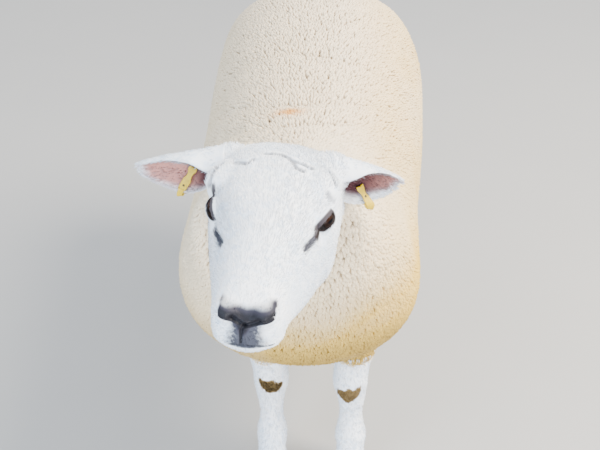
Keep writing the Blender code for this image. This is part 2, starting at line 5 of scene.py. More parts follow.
import bmesh
import bpy
import numpy as np
from mathutils import Matrix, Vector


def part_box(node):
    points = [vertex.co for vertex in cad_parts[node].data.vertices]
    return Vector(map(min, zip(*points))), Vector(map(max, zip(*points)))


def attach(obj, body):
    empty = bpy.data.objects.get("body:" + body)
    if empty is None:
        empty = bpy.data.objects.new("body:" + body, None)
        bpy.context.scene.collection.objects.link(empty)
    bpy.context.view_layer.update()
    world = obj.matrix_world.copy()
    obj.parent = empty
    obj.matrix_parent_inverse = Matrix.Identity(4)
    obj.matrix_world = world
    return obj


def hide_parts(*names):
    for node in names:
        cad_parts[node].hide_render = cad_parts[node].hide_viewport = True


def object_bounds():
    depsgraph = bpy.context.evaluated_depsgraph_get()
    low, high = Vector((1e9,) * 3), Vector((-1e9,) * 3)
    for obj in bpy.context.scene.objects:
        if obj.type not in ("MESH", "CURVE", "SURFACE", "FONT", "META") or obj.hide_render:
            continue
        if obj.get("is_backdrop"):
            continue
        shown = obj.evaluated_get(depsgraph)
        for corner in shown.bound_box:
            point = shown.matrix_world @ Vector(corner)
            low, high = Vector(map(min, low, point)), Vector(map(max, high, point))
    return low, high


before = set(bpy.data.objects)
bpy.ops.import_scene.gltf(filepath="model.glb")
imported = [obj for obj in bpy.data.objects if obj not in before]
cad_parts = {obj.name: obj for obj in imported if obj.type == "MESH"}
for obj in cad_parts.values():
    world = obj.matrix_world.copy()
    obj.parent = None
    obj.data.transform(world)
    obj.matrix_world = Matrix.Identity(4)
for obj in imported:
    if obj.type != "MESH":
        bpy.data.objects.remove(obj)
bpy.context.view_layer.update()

# ---- The body's form ------------------------------------------------------------------------------------
# A live sheep is one body: trunk, neck and head in a line, four limbs, a tail, and the swellings of jaw,
# brow, lips and ear roots. Here each is a smooth tube or ball out to the tips of the coat.

HEAD_TURN, HEAD_DROP, HEAD_TILT = 4.5, 5.0, -2.4  # degrees, as the head is held
EYE_PLACE = (0.0562, 0.004, 0.005)  # sideways, forward and up from midway between the eyes
HEAD_PLACE = (-0.018, -0.452, 0.846)  # of the head in the stations' own measure
STANCE_SHIFT = 0.004  # how far left of the trunk's middle plane the feet are centred
# Back y and z, belly y and z, half width, squareness, widening above, distance left of the middle plane.
TRUNK_STATIONS = [
    (0.738, 0.590, 0.738, 0.500, 0.070, 2.0, 0.00, 0.000),
    (0.728, 0.632, 0.733, 0.455, 0.135, 2.2, 0.00, 0.000),
    (0.694, 0.683, 0.708, 0.398, 0.179, 2.3, 0.03, -0.002),
    (0.633, 0.717, 0.648, 0.350, 0.199, 2.4, 0.04, -0.004),
    (0.532, 0.729, 0.550, 0.330, 0.210, 2.4, 0.00, 0.001),
    (0.420, 0.721, 0.430, 0.316, 0.210, 2.4, -0.03, 0.000),
    (0.286, 0.711, 0.286, 0.301, 0.204, 2.4, -0.04, -0.002),
    (0.150, 0.708, 0.120, 0.297, 0.195, 2.4, -0.06, -0.007),
    (0.030, 0.714, -0.022, 0.305, 0.192, 2.3, -0.10, -0.008),
    (-0.060, 0.728, -0.116, 0.345, 0.188, 2.1, -0.14, -0.009),
    (-0.130, 0.756, -0.196, 0.422, 0.172, 1.95, -0.11, -0.007),
    (-0.195, 0.789, -0.254, 0.520, 0.146, 2.0, -0.08, -0.012),
    (-0.256, 0.820, -0.300, 0.612, 0.120, 2.1, -0.06, -0.018),
]
HEAD_STATIONS = [  # forward, top, bottom, half width, squareness, widening
    (-0.145, -0.004, -0.138, 0.090, 2.1, 0.00),
    (-0.112, 0.022, -0.125, 0.079, 2.4, 0.00),
    (-0.075, 0.044, -0.121, 0.076, 2.5, 0.00),
    (-0.035, 0.053, -0.119, 0.0755, 2.6, -0.01),
    (0.005, 0.051, -0.113, 0.0690, 2.6, -0.04),
    (0.045, 0.043, -0.101, 0.0595, 2.5, -0.10),
    (0.085, 0.033, -0.084, 0.0500, 2.4, -0.12),
    (0.118, 0.023, -0.068, 0.0430, 2.3, -0.08),
    (0.143, 0.012, -0.060, 0.0395, 2.3, -0.03),
    (0.159, -0.001, -0.055, 0.0330, 2.2, 0.00),
    (0.168, -0.013, -0.047, 0.0210, 2.0, 0.00),
    (0.171, -0.024, -0.038, 0.0090, 2.0, 0.00),
]
FRONT_LEG = [  # x, y, z and the half sizes along x and y
    (0.100, 0.024, 0.480, 0.058, 0.088),
    (0.100, 0.020, 0.410, 0.058, 0.078),
    (0.092, 0.014, 0.350, 0.050, 0.064),
    (0.080, 0.006, 0.295, 0.038, 0.047),
    (0.073, -0.002, 0.250, 0.0320, 0.037),
    (0.071, -0.004, 0.215, 0.0320, 0.035),
    (0.073, 0.001, 0.180, 0.0265, 0.0285),
    (0.073, 0.004, 0.140, 0.0222, 0.0250),
    (0.073, 0.003, 0.112, 0.0245, 0.0270),
    (0.073, -0.001, 0.087, 0.0295, 0.0315),
    (0.073, -0.013, 0.063, 0.0265, 0.0285),
    (0.073, -0.022, 0.044, 0.0290, 0.0350),
    (0.073, -0.026, 0.030, 0.0280, 0.0360),
]
HIND_LEG = [
    (0.105, 0.550, 0.560, 0.090, 0.140),
    (0.122, 0.570, 0.480, 0.086, 0.140),
    (0.128, 0.590, 0.400, 0.074, 0.112),
    (0.120, 0.622, 0.335, 0.052, 0.076),
    (0.109, 0.657, 0.285, 0.035, 0.051),
    (0.103, 0.672, 0.248, 0.0300, 0.0410),
    (0.101, 0.667, 0.208, 0.0255, 0.0310),
    (0.098, 0.654, 0.155, 0.0222, 0.0255),
    (0.098, 0.645, 0.115, 0.0245, 0.0270),
    (0.098, 0.638, 0.088, 0.0290, 0.0305),
    (0.098, 0.626, 0.063, 0.0260, 0.0280),
    (0.098, 0.618, 0.044, 0.0285, 0.0345),
    (0.098, 0.615, 0.030, 0.0275, 0.0355),
]
TAIL = [
    (0.0, 0.678, 0.662, 0.040, 0.030),
    (0.0, 0.724, 0.640, 0.038, 0.030),
    (0.0, 0.751, 0.598, 0.036, 0.027),
    (0.0, 0.758, 0.548, 0.033, 0.024),
    (0.0, 0.757, 0.510, 0.024, 0.018),
    (0.0, 0.756, 0.500, 0.010, 0.008),
]
SWELLINGS = [  # sideways, forward and up on the head, and the radii along the same three
    ((0.000, 0.133, -0.055), (0.023, 0.025, 0.014)),  # chin
    ((0.048, -0.026, 0.018), (0.029, 0.032, 0.027)),  # brow
    ((0.042, -0.034, -0.066), (0.032, 0.058, 0.050)),  # cheek
    ((0.019, 0.139, -0.035), (0.021, 0.027, 0.021)),  # lip
    ((0.020, 0.150, -0.004), (0.014, 0.018, 0.012)),  # nostril wing
    ((0.058, -0.088, 0.004), (0.027, 0.027, 0.025)),  # ear root
]
SIDES = {"left": 1, "right": -1}
PAIRS = {"front": FRONT_LEG, "hind": HIND_LEG}


def unit(vectors):
    """Each vector divided by its length."""
    return vectors / np.maximum(np.linalg.norm(vectors, axis=-1, keepdims=True), 1e-9)


def fade(low, high, value):
    """0 up to low and 1 from high on, with a smooth S between: 3 t^2 - 2 t^3."""
    t = np.clip((value - low) / (high - low), 0, 1)
    return t * t * (3 - 2 * t)


def catmull_rom(rows, steps):
    """A smooth line that meets each row and leaves it in the direction from the row before to the next."""
    rows = np.asarray(rows, float)
    ends = np.vstack([2 * rows[0] - rows[1], rows, 2 * rows[-1] - rows[-2]])
    t = np.linspace(0, len(rows) - 1, (len(rows) - 1) * steps + 1)
    i = np.minimum(t.astype(int), len(rows) - 2)
    s = (t - i)[:, None]
    a, b, c, d = ends[i], ends[i + 1], ends[i + 2], ends[i + 3]
    return 0.5 * (2 * b + (c - a) * s + (2 * a - 5 * b + 4 * c - d) * s**2 + (3 * b - a - 3 * c + d) * s**3)


def circle(count):
    """Cosines and sines of evenly spaced angles."""
    angle = np.linspace(0, 2 * math.pi, count, endpoint=False)
    return np.cos(angle), np.sin(angle)


def signed_power(value, power):
    """The value's size raised to the power, with its sign kept, which squares a circle's cosine and sine."""
    return np.sign(value) * np.abs(value) ** power


def unit_ball(end, rows, around):
    """A sphere about the origin as rings from -end to end degrees of height."""
    rise = np.radians(np.linspace(-end, end, rows))[:, None]
    cos, sin = circle(around)
    return np.stack([np.cos(rise) * cos, np.cos(rise) * sin, np.sin(rise) + 0 * cos], -1)


def turned(degrees, axis):
    """The matrix of a turn by so many degrees about an axis."""
    return np.array(Matrix.Rotation(math.radians(degrees), 3, axis))


head_turn = turned(-HEAD_TURN, "Z") @ turned(HEAD_DROP, "X") @ turned(-HEAD_TILT, "Y")
head_axes = np.array([[1, 0, 0], [0, -1, 0], [0, 0, 1]]) @ head_turn.T  # leftward, forward and upward
eyes_middle = np.mean([tuple(corner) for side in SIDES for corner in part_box("eye_" + side)], axis=0)
head_middle = eyes_middle - np.array([0, *EYE_PLACE[1:]]) @ head_axes
frame_shift = head_middle - np.array(HEAD_PLACE)


def on_head(place):
    """Points given sideways, forward and up on the head, as points of the frame."""
    return head_middle + np.asarray(place, float) @ head_axes


def mirrored(place, side):
    """A place or a way given for the left half, on that side."""
    return np.asarray(place, float) * (side, 1, 1)


def closed_tube(rings):
    """Points and triangles of a tube through rings, an array (rows, around, 3), with a fan over each end."""
    rows, around = rings.shape[:2]
    here = np.arange(rows * around).reshape(rows, around)
    beside = np.roll(here, -1, axis=1)
    quads = np.stack([here[:-1], beside[:-1], beside[1:], here[1:]], -1).reshape(-1, 4)
    ends = np.full(around, rows * around)
    caps = [np.stack([beside[0], here[0], ends], 1), np.stack([here[-1], beside[-1], ends + 1], 1)]
    points = np.vstack([rings.reshape(-1, 3), rings[0].mean(0), rings[-1].mean(0)])
    return outward(points, np.concatenate([quads[:, [0, 1, 2]], quads[:, [0, 2, 3]], *caps]))


def outward(points, triangles):
    """The same closed shape with its triangles turned so that its volume counts as positive."""
    a, b, c = (points[triangles[:, k]] for k in range(3))
    volume = np.einsum("ij,ij->i", a, np.cross(b, c)).sum()
    return points, triangles if volume > 0 else triangles[:, ::-1]


def joined(shapes):
    """Several shapes, each (points, triangles), as one."""
    starts = np.cumsum([0] + [len(points) for points, _ in shapes])
    triangles = [faces + start for (_, faces), start in zip(shapes, starts)]
    return np.vstack([points for points, _ in shapes]), np.vstack(triangles)


def body_rings(steps, around):
    """Superellipses from the buttocks to the lips. At angle a a ring's point lies half * |cos a|^(2/square)
    * (1 + widen sin a) sideways and |sin a|^(2/square) of the way from the ring's middle to the back or belly
    line."""
    rows = []
    for back_y, back_z, belly_y, belly_z, half, square, widen, left in TRUNK_STATIONS:
        back, belly = (left, back_y, back_z) + frame_shift, (left, belly_y, belly_z) + frame_shift
        rows.append([*back, *belly, half, square, widen, 1, 0, 0])
    for forward, top, bottom, half, square, widen in HEAD_STATIONS:
        back, belly = on_head((0, forward, top)), on_head((0, forward, bottom))
        rows.append([*back, *belly, half, square, widen, *head_axes[0]])
    rows = catmull_rom(rows, steps)
    cos, sin = circle(around)
    half, square, widen = rows[:, 6:7], rows[:, 7:8], rows[:, 8:9]
    across = signed_power(cos, 2 / square) * half * (1 + widen * sin)
    along = signed_power(sin, 2 / square)
    middle, rise = (rows[:, 0:3] + rows[:, 3:6]) / 2, (rows[:, 0:3] - rows[:, 3:6]) / 2
    side = unit(rows[:, 9:12])
    return middle[:, None] + across[..., None] * side[:, None] + along[..., None] * rise[:, None]


def limb_rings(stations, side, shift, steps, around):
    """Level ellipses through the stations of a leg or of the tail."""
    x, y, z, half_x, half_y = (column[:, None] for column in catmull_rom(stations, steps).T)
    cos, sin = circle(around)
    return np.stack([side * x + shift + half_x * cos, y + half_y * sin, z + 0 * cos], -1) + frame_shift


masses = [closed_tube(body_rings(8, 96)), closed_tube(limb_rings(TAIL, 1, 0, 6, 32))]
for side in SIDES.values():
    masses += [closed_tube(limb_rings(leg, side, STANCE_SHIFT, 8, 48)) for leg in PAIRS.values()]
    for place, radii in SWELLINGS:
        masses.append(closed_tube(on_head(unit_ball(88, 24, 32) * radii + mirrored(place, side))))

# ---- The one skin ---------------------------------------------------------------------------------------
# The hide covers trunk, neck, head, tail and legs without a seam. The masses are made one surface by a voxel
# remesh and relaxed, which gives the coat's outer form. The skin is that form drawn in by the coat's depth.

SKIN_VOXEL = 0.0025
LIGHT_ROUNDS, HEAVY_ROUNDS = 14, 120  # of relaxing on the head and legs, and under the fleece
FLEECE_DEPTH, SHORT_DEPTH = 0.0105, 0.0018
SKIN_ROUNDS = 16  # of evening out the skin under the fleece
SKIN_SHARE = 0.128  # of the remeshed triangles that are kept
MID_BODY = 0.25  # y between the front and the hind legs
FACE_REACH = 0.175  # round the face, where no triangle is dropped


def linked(name, data):
    """A new object with that data, in the scene."""
    made = bpy.data.objects.new(name, data)
    bpy.context.scene.collection.objects.link(made)
    return made


def add_piece(name, points, triangles):
    """A mesh object with its place in its mesh, all faces triangles and shaded smooth."""
    mesh = bpy.data.meshes.new(name)
    mesh.vertices.add(len(points))
    mesh.vertices.foreach_set("co", np.ascontiguousarray(points, np.float32).ravel())
    mesh.loops.add(triangles.size)
    mesh.loops.foreach_set("vertex_index", np.ascontiguousarray(triangles, np.int32).ravel())
    mesh.polygons.add(len(triangles))
    mesh.polygons.foreach_set("loop_start", np.arange(0, triangles.size, 3, dtype=np.int32))
    mesh.update(calc_edges=True)
    mesh.shade_smooth()
    return linked(name, mesh)


def read(data, name, width, kind=np.float32):
    """One property of all elements of a mesh's collection, as an array."""
    values = np.empty(len(data) * width, kind)
    data.foreach_get(name, values)
    return values.reshape(-1, width) if width > 1 else values


def with_modifier(source, kind, **settings):
    """A copy of the source's mesh with one modifier applied."""
    modifier = source.modifiers.new(kind.lower(), kind)
    for name, value in settings.items():
        setattr(modifier, name, value)
    bpy.context.view_layer.update()
    made = bpy.data.meshes.new_from_object(source.evaluated_get(bpy.context.evaluated_depsgraph_get()))
    source.modifiers.remove(modifier)
    return made


def relaxed(source, rounds):
    """The source's points after that many rounds of going halfway to the mean of their neighbours."""
    mesh = with_modifier(source, "SMOOTH", factor=0.5, iterations=rounds)
    points = read(mesh.vertices, "co", 3)
    bpy.data.meshes.remove(mesh)
    return points


def head_measure(points):
    """Sideways, forward and up on the head, in that order, for points of the frame."""
    return ((points - head_middle) @ head_axes.T).T


def fleece_share(points):
    """1 where fleece grows and 0 on the short-haired face and legs. The wool begins behind the ears and the
    jaw, and ends above the knees and at the hocks."""
    left, forward, up = head_measure(points)
    wool_line = -0.112 + 0.030 * fade(-0.02, -0.10, up)
    behind = fade(0.010, -0.012, forward - wool_line)
    leg_top = np.where(points[:, 1] > MID_BODY, 0.315, 0.288)
    return behind * fade(-0.014, 0.014, points[:, 2] - leg_top)


def relaxing_share(points):
    """How much of the heavy relaxing a point gets: all under the fleece, little on the head and legs."""
    trunk = np.clip((points[:, 2] - 0.29) / 0.06, 0, 1)
    from_head = np.linalg.norm(points - on_head((0, 0.02, -0.03)), axis=1)
    return 0.06 + 0.94 * trunk * np.clip((from_head - 0.13) / 0.07, 0, 1)


def outer_form(voxel, light, heavy, name):
    """The masses as one surface of quads, relaxed lightly on head and legs and heavily under the fleece."""
    lump = add_piece("lump", *joined(masses))
    lump.data.name = name
    mesh = with_modifier(lump, "REMESH", mode="VOXEL", voxel_size=voxel)
    bpy.data.objects.remove(lump)
    made = linked(name, mesh)
    fine, coarse = relaxed(made, light), relaxed(made, heavy)
    share = relaxing_share(fine)[:, None]
    mesh.vertices.foreach_set("co", (fine + (coarse - fine) * share).ravel())
    mesh.update()
    return made


outer = outer_form(SKIN_VOXEL, LIGHT_ROUNDS, HEAVY_ROUNDS, "outer_form")
outer_points = read(outer.data.vertices, "co", 3)
outer_normals = read(outer.data.vertex_normals, "vector", 3)
fleeced = fleece_share(outer_points)
depth = SHORT_DEPTH + (FLEECE_DEPTH - SHORT_DEPTH) * fleeced
skin_source = linked("skin_source", outer.data.copy())
skin_source.data.vertices.foreach_set("co", (outer_points - outer_normals * depth[:, None]).ravel())
skin_source.data.update()
evened, drawn_in = relaxed(skin_source, SKIN_ROUNDS), read(skin_source.data.vertices, "co", 3)
skin_source.data.vertices.foreach_set("co", (drawn_in + (evened - drawn_in) * fleeced[:, None]).ravel())
group = skin_source.vertex_groups.new(name="thin")
far_from_face = np.linalg.norm(outer_points - on_head((0, 0.03, -0.03)), axis=1) > FACE_REACH
for chosen, weight in ((far_from_face & (fleeced > 0.5), 1.0), (far_from_face & (fleeced <= 0.5), 0.5)):
    group.add(np.flatnonzero(chosen).tolist(), weight, "REPLACE")
skin_mesh = with_modifier(skin_source, "DECIMATE", ratio=SKIN_SHARE, vertex_group="thin")
bpy.data.objects.remove(skin_source)

# ---- The face -------------------------------------------------------------------------------------------
# Lids, nostrils, the groove of the lip, mouth, tear ducts and the folds on the poll are formed in the skin,
# and alike in the hair over it. The skin is cut finer there first.

EYE_RADIUS = 0.0150
FACE_SHIFT = 0.0015  # how far left of the head's middle plane the eyes and nostrils are centred
# For the left and the right eye: the way out of the opening between the lids, the way to its inner corner,
# half its length, and its reach above and below the line between its corners.
LIDS = {
    1: ((0.665, 0.712, 0.227), (-0.566, 0.678, -0.469), 0.0125, 0.0047, 0.0060),
    -1: ((0.759, 0.442, 0.479), (-0.125, 0.820, -0.558), 0.0144, 0.0034, 0.0050),
}
UPPER_LID_BREADTH = 0.0016  # how much taller the opening counts where the upper lid's edge is formed
LID_HEIGHT, LID_TUCK = 0.0009, 0.0042  # of the lids' edge over the ball, and of the skin's edge under it
LID_REACH = 0.034  # from the eye's centre, where the lids end
EYE_REACH = 0.030  # from the eye's centre, where their markings end
AWAY = 9.0  # the opening's share farther off
# Lines on the head, as points sideways, forward and up. Nostrils run from the wing to the groove between
# them, and tear ducts from the eye's corner forward: the left one first, then the right one.
NOSTRILS = [
    [(0.0285, 0.1553, -0.0034), (0.0228, 0.1605, -0.0046), (0.0153, 0.1618, -0.0066),
     (0.0075, 0.1640, -0.0095), (0.0012, 0.1651, -0.0112)],
    [(-0.0266, 0.1550, -0.0022), (-0.0205, 0.1598, -0.0032), (-0.0125, 0.1610, -0.0058),
     (-0.0048, 0.1637, -0.0091), (0.0012, 0.1651, -0.0112)],
]
PHILTRUM = [  # the groove of the upper lip
    (0.0, 0.1651, -0.0107), (-0.0028, 0.1670, -0.0173), (-0.0028, 0.1674, -0.0238),
    (-0.0029, 0.1678, -0.0345),
]
MOUTH = [  # the left half, which the right half mirrors
    (0.0, 0.1690, -0.0355), (0.0135, 0.1665, -0.0368), (0.028, 0.1570, -0.0400), (0.037, 0.132, -0.045),
    (0.041, 0.108, -0.048),
]
TEAR_DUCTS = [
    [(0.0575, 0.0262, 0.0014), (0.0549, 0.0331, 0.0025), (0.0520, 0.0430, 0.0034), (0.0466, 0.0590, 0.0054)],
    [(-0.0561, 0.0293, -0.0017), (-0.0520, 0.0391, 0.0043), (-0.0452, 0.0564, 0.0086),
     (-0.0395, 0.0720, 0.0128)],
]
HEAD_FOLDS = [  # on the poll, before the ears and over the left eye
    [(-0.0118, -0.0460, 0.0496), (-0.0030, -0.0465, 0.0495), (0.0061, -0.0467, 0.0494),
     (0.0110, -0.0424, 0.0498), (0.0157, -0.0394, 0.0506), (0.0262, -0.0239, 0.0483),
     (0.0323, -0.0226, 0.0467)],
    [(0.0180, -0.0365, 0.0505), (0.0248, -0.0347, 0.0497), (0.0334, -0.0344, 0.0469),
     (0.0410, -0.0335, 0.0442)],
    [(-0.0440, -0.0333, 0.0435), (-0.0287, -0.0250, 0.0477), (-0.0231, -0.0320, 0.0496)],
    [(-0.0589, -0.0330, 0.0404), (-0.0645, -0.0208, 0.0363), (-0.0676, -0.0137, 0.0314),
     (-0.0693, -0.0137, 0.0226)],
    [(0.0590, -0.0480, 0.0340), (0.0620, -0.0385, 0.0357), (0.0664, -0.0286, 0.0349),
     (0.0690, -0.0235, 0.0318)],
    [(0.0624, -0.0083, 0.0311), (0.0665, -0.0078, 0.0253), (0.0690, -0.0120, 0.0180)],
]
FOLD_DEPTH, FOLD_WIDTH = 0.0022, 0.0021
RIDGE_PLACE, RIDGE_HEIGHT, RIDGE_WIDTH = 0.0055, 0.0009, 0.003  # beside each fold of the poll


def line_distance(points, line):
    """The least distance from each point to a line of straight stretches."""
    line = np.asarray(line, float)
    least = np.full(len(points), 1.0)
    for start, end in zip(line, line[1:]):
        along = end - start
        share = np.clip((points - start) @ along / (along @ along), 0, 1)
        least = np.minimum(least, np.linalg.norm(points - start - share[:, None] * along, axis=1))
    return least


def head_distance(points, line, both=False):
    """The least distance to a line on the head, on both halves of the face if asked for."""
    place = head_measure(points).T
    if both:
        place[:, 0] = np.abs(place[:, 0] - FACE_SHIFT)
    return line_distance(place, line)


def eye_middle(side):
    """The centre of an eyeball."""
    return on_head(mirrored(EYE_PLACE, side) + (FACE_SHIFT, 0, 0))


def bell(value, width):
    """1 where the value is 0, falling to both sides: exp(-(value / width)^2)."""
    return np.exp(-((value / width) ** 2))


# Two rounds of halving edges, each with its reach beside the lines, its reach round the eyes, and how far
# forward the whole muzzle is cut.
for reach, around_eye, muzzle in ((0.009, 0.030, 0.134), (0.0050, 0.0205, 0.2)):
    ends = read(skin_mesh.edges, "vertices", 2, np.int32)
    middles = read(skin_mesh.vertices, "co", 3)[ends].mean(1)
    chosen = head_measure(middles)[1] > muzzle
    for line in (*NOSTRILS, PHILTRUM, MOUTH, *TEAR_DUCTS):
        chosen |= head_distance(middles, line, both=line is MOUTH) < reach
    for line in HEAD_FOLDS:
        chosen |= head_distance(middles, line) < reach * 0.7
    for side in SIDES.values():
        chosen |= np.linalg.norm(middles - eye_middle(side), axis=1) < around_eye
    work = bmesh.new()
    work.from_mesh(skin_mesh)
    work.edges.ensure_lookup_table()
    edges = [work.edges[k] for k in np.flatnonzero(chosen)]
    bmesh.ops.subdivide_edges(work, edges=edges, cuts=1, use_grid_fill=True)
    work.to_mesh(skin_mesh)
    work.free()
skin_mesh.calc_loop_triangles()
skin_points = read(skin_mesh.vertices, "co", 3).astype(float)
skin_triangles = read(skin_mesh.loop_triangles, "vertices", 3, np.int32)


def summed(where, parts, count):
    """The vectors of all parts that name the same point, added up, for that many points."""
    return np.stack([np.bincount(where, parts[:, axis], count) for axis in range(3)], 1)


def point_normals(points, triangles):
    """At each point the sum of its triangles' normals, made one long."""
    a, b, c = (points[triangles[:, k]] for k in range(3))
    facing = np.cross(b - a, c - a)
    return unit(sum(summed(triangles[:, k], facing, len(points)) for k in range(3)))


def eased(points, triangles, share, rounds):
    """Points drawn by a share towards the mean of their neighbours, in rounds."""
    ends = np.concatenate([triangles[:, [0, 1]], triangles[:, [1, 2]], triangles[:, [2, 0]]])
    count = np.maximum(np.bincount(ends[:, 0], minlength=len(points)), 1)[:, None]
    for _ in range(rounds):
        mean = summed(ends[:, 0], points[ends[:, 1]], len(points)) / count
        points = points + (mean - points) * share[:, None]
    return points


def eye_measure(points, side):
    """Across and up on the eyeball from the opening's middle, as arcs, and the distance from its centre."""
    gaze = unit(mirrored(LIDS[side][0], side)) @ head_axes
    across = mirrored(LIDS[side][1], side) @ head_axes
    across = unit(across - gaze * (across @ gaze))
    upward = np.cross(across, gaze) * side
    away = points - eye_middle(side)
    distance = np.linalg.norm(away, axis=1)
    lead = away / distance[:, None]
    turn = np.arccos(np.clip(lead @ gaze, -1, 1)) * EYE_RADIUS
    flat = unit(np.stack([lead @ across, lead @ upward], 1))
    return flat[:, 0] * turn, flat[:, 1] * turn, distance, (gaze, across, upward)


def opening_share(across, upward, side, more=0.0):
    """Below 1 inside the opening between the lids and above it outside: half an ellipse above and half below,
    the upper one taller by more."""
    length, above, below = LIDS[side][2:]
    return np.hypot(across / length, upward / np.where(upward > 0, above + more, below))


def lid_measure(points, side):
    """Across and up on the eyeball, and the share of the opening and of the one made taller for the lid."""
    across, upward, distance, _ = eye_measure(points, side)
    shares = [opening_share(across, upward, side, more) for more in (0.0, UPPER_LID_BREADTH)]
    return across, upward, *(share + AWAY * (distance > EYE_REACH) for share in shares)


def with_lids(points, side):
    """The skin pushed under the eyeball inside the opening, and raised over it in a rounded rim outside. The
    rim's height above the eyeball falls to the face's own within about one more opening."""
    across, upward, distance, axes = eye_measure(points, side)
    share = opening_share(across, upward, side)
    near = (distance < LID_REACH) & ((points - eye_middle(side)) @ axes[0] > -0.006)
    snap = np.where(np.abs(share - 1) < 0.12, 1 + np.sign(share - 1) * np.abs(share - 1) ** 2 / 0.12, share)
    under = EYE_RADIUS - LID_TUCK
    upper = fade(0.0, 0.003, upward)
    crease = 0.0006 * bell(share - 1.62, 0.16)
    rim = EYE_RADIUS + LID_HEIGHT + 0.0010 * fade(1.0, 1.25, share) - crease + 0.0006 * upper
    rolled = opening_share(across, upward, side, UPPER_LID_BREADTH)
    to_face = fade(0.0, 1.0, (rolled - 1.25 - 0.45 * upper) / (1.1 + 0.6 * upper))
    to_face = np.maximum(to_face, fade(0.028, LID_REACH, distance))
    outside = np.maximum(rim + (distance - rim) * to_face, EYE_RADIUS + LID_HEIGHT)
    target = under + (outside - under) * fade(0.94, 1.02, share)
    gaze, over, above = axes
    turn = np.hypot(across, upward) * np.where(share > 0, snap / np.maximum(share, 1e-6), 1) / EYE_RADIUS
    flat = unit(np.stack([across, upward], 1))
    lead = gaze * np.cos(turn)[:, None] + (over * flat[:, :1] + above * flat[:, 1:]) * np.sin(turn)[:, None]
    moved = eye_middle(side) + lead * target[:, None]
    return np.where(near[:, None], moved, points), np.where(near, share, AWAY)


def with_features(points, normals):
    """Points of the face with grooves pressed in and lids formed, and the least share of an eye's opening.
    A groove is a bell of its width and depth, with a low swelling along each side of it."""
    lift = np.zeros(len(points))
    grooves = [(PHILTRUM, 0.0014, 0.0022), (MOUTH, 0.0015, 0.0024)]
    grooves += [(line, 0.0017, 0.0022) for line in NOSTRILS]
    grooves += [(line[:3], 0.0026, 0.0030) for line in NOSTRILS]
    grooves += [(line, 0.0040, 0.0014) for line in TEAR_DUCTS]
    for line, width, sink in grooves:
        apart = head_distance(points, line, both=line is MOUTH)
        lift -= sink * bell(apart, width)
        lift += 0.22 * sink * bell(apart - 2.3 * width, width)
    for line in HEAD_FOLDS:
        apart = head_distance(points, line)
        lift -= FOLD_DEPTH * bell(apart, FOLD_WIDTH)
        lift += RIDGE_HEIGHT * bell(apart - RIDGE_PLACE, RIDGE_WIDTH)
    points = points + normals * lift[:, None]
    least = np.full(len(points), AWAY)
    for side in SIDES.values():
        points, share = with_lids(points, side)
        least = np.minimum(least, share)
    return points, least


skin_points, lid_share = with_features(skin_points, point_normals(skin_points, skin_triangles))
skin_points = eased(skin_points, skin_triangles, 0.30 * ((lid_share > 1.08) & (lid_share < 3)), 4)

# ---- The ears -------------------------------------------------------------------------------------------
# Each ear is a leaf of gristle and skin curled about its length, and part of the one skin. Along it the place
# goes from 0 at the root to 1 at the tip, and across it from -1 at the upper edge to 1 at the lower edge.

EAR_LENGTH = 0.1225
EAR_ROOT = {1: (0.048, -0.094, 0.026), -1: (0.057, -0.094, 0.024)}  # outward, forward and up, left and right
EAR_AIM = {1: (0.795, -0.39, -0.475), -1: (0.985, 0.04, -0.245)}
EAR_FACING = (0.20, 0.62, -0.62)  # the way that the opening faces, before its twist
# Place along, half breadth measured round the curl, curl at the edge in radians, sag, twist of the opening
# downward in degrees, and fall of the middle towards the lower edge.
EAR_STATIONS = [
    (0.06, 0.0445, 2.52, 0.000, 11, 0.0005),
    (0.12, 0.0450, 2.45, 0.000, 8, 0.0010),
    (0.24, 0.0460, 2.10, 0.000, -4, 0.0035),
    (0.36, 0.0460, 1.78, 0.000, -22, 0.0090),
    (0.48, 0.0435, 1.55, 0.001, -27, 0.0130),
    (0.60, 0.0390, 1.40, 0.002, -28, 0.0142),
    (0.72, 0.0320, 1.30, 0.002, -27, 0.0142),
    (0.84, 0.0235, 1.20, 0.001, -25, 0.0130),
    (0.94, 0.0140, 1.10, 0.000, -22, 0.0120),
    (1.00, 0.0036, 0.95, -0.001, -20, 0.0112),
]
EAR_WALL = 0.0032  # thickness of its middle


def ear_axes(side):
    """Root, direction to the tip, direction to the lower edge, and the way that the opening faces."""
    along = unit(mirrored(EAR_AIM[side], side) @ head_axes)
    facing = mirrored(EAR_FACING, side) @ head_axes
    facing = unit(facing - along * (facing @ along))
    return on_head(mirrored(EAR_ROOT[side], side)), along, np.cross(along, facing) * side, facing


def ear_surface(side, rows, across, offset):
    """Points of the curled leaf, a grid (rows, across), each moved by its offset towards the inside of the
    curl. At radius r and angle a from the curl's middle a point lies r sin a across and r (1 - cos a) up, on
    axes turned by the row's twist."""
    place, half, curl, sag, twist, fall = (column[:, None] for column in np.asarray(rows, float).T)
    root, along, lower, facing = ear_axes(side)
    cos, sin = np.cos(np.radians(twist)), np.sin(np.radians(twist))
    radius, angle = half / curl, curl * across
    out = (radius - offset) * np.sin(angle) + fall
    rise = radius - (radius - offset) * np.cos(angle) - sag
    down, ahead = out * cos + rise * sin, rise * cos - out * sin
    lengthwise = (place * EAR_LENGTH)[..., None] * along
    return root + lengthwise + down[..., None] * lower + ahead[..., None] * facing


ear_rows = catmull_rom(EAR_STATIONS, 5)
ear_across = np.linspace(-1, 1, 33)


def ear_wall(rows, across):
    """Half the wall's thickness, which is gristly at the root and thins to the rim and the tip."""
    root = 1 + 0.9 * fade(0.30, 0.06, rows[:, :1])
    return np.minimum(EAR_WALL / 2 * root, rows[:, 1:2] * 0.35) * (1 - 0.60 * np.abs(across) ** 3)


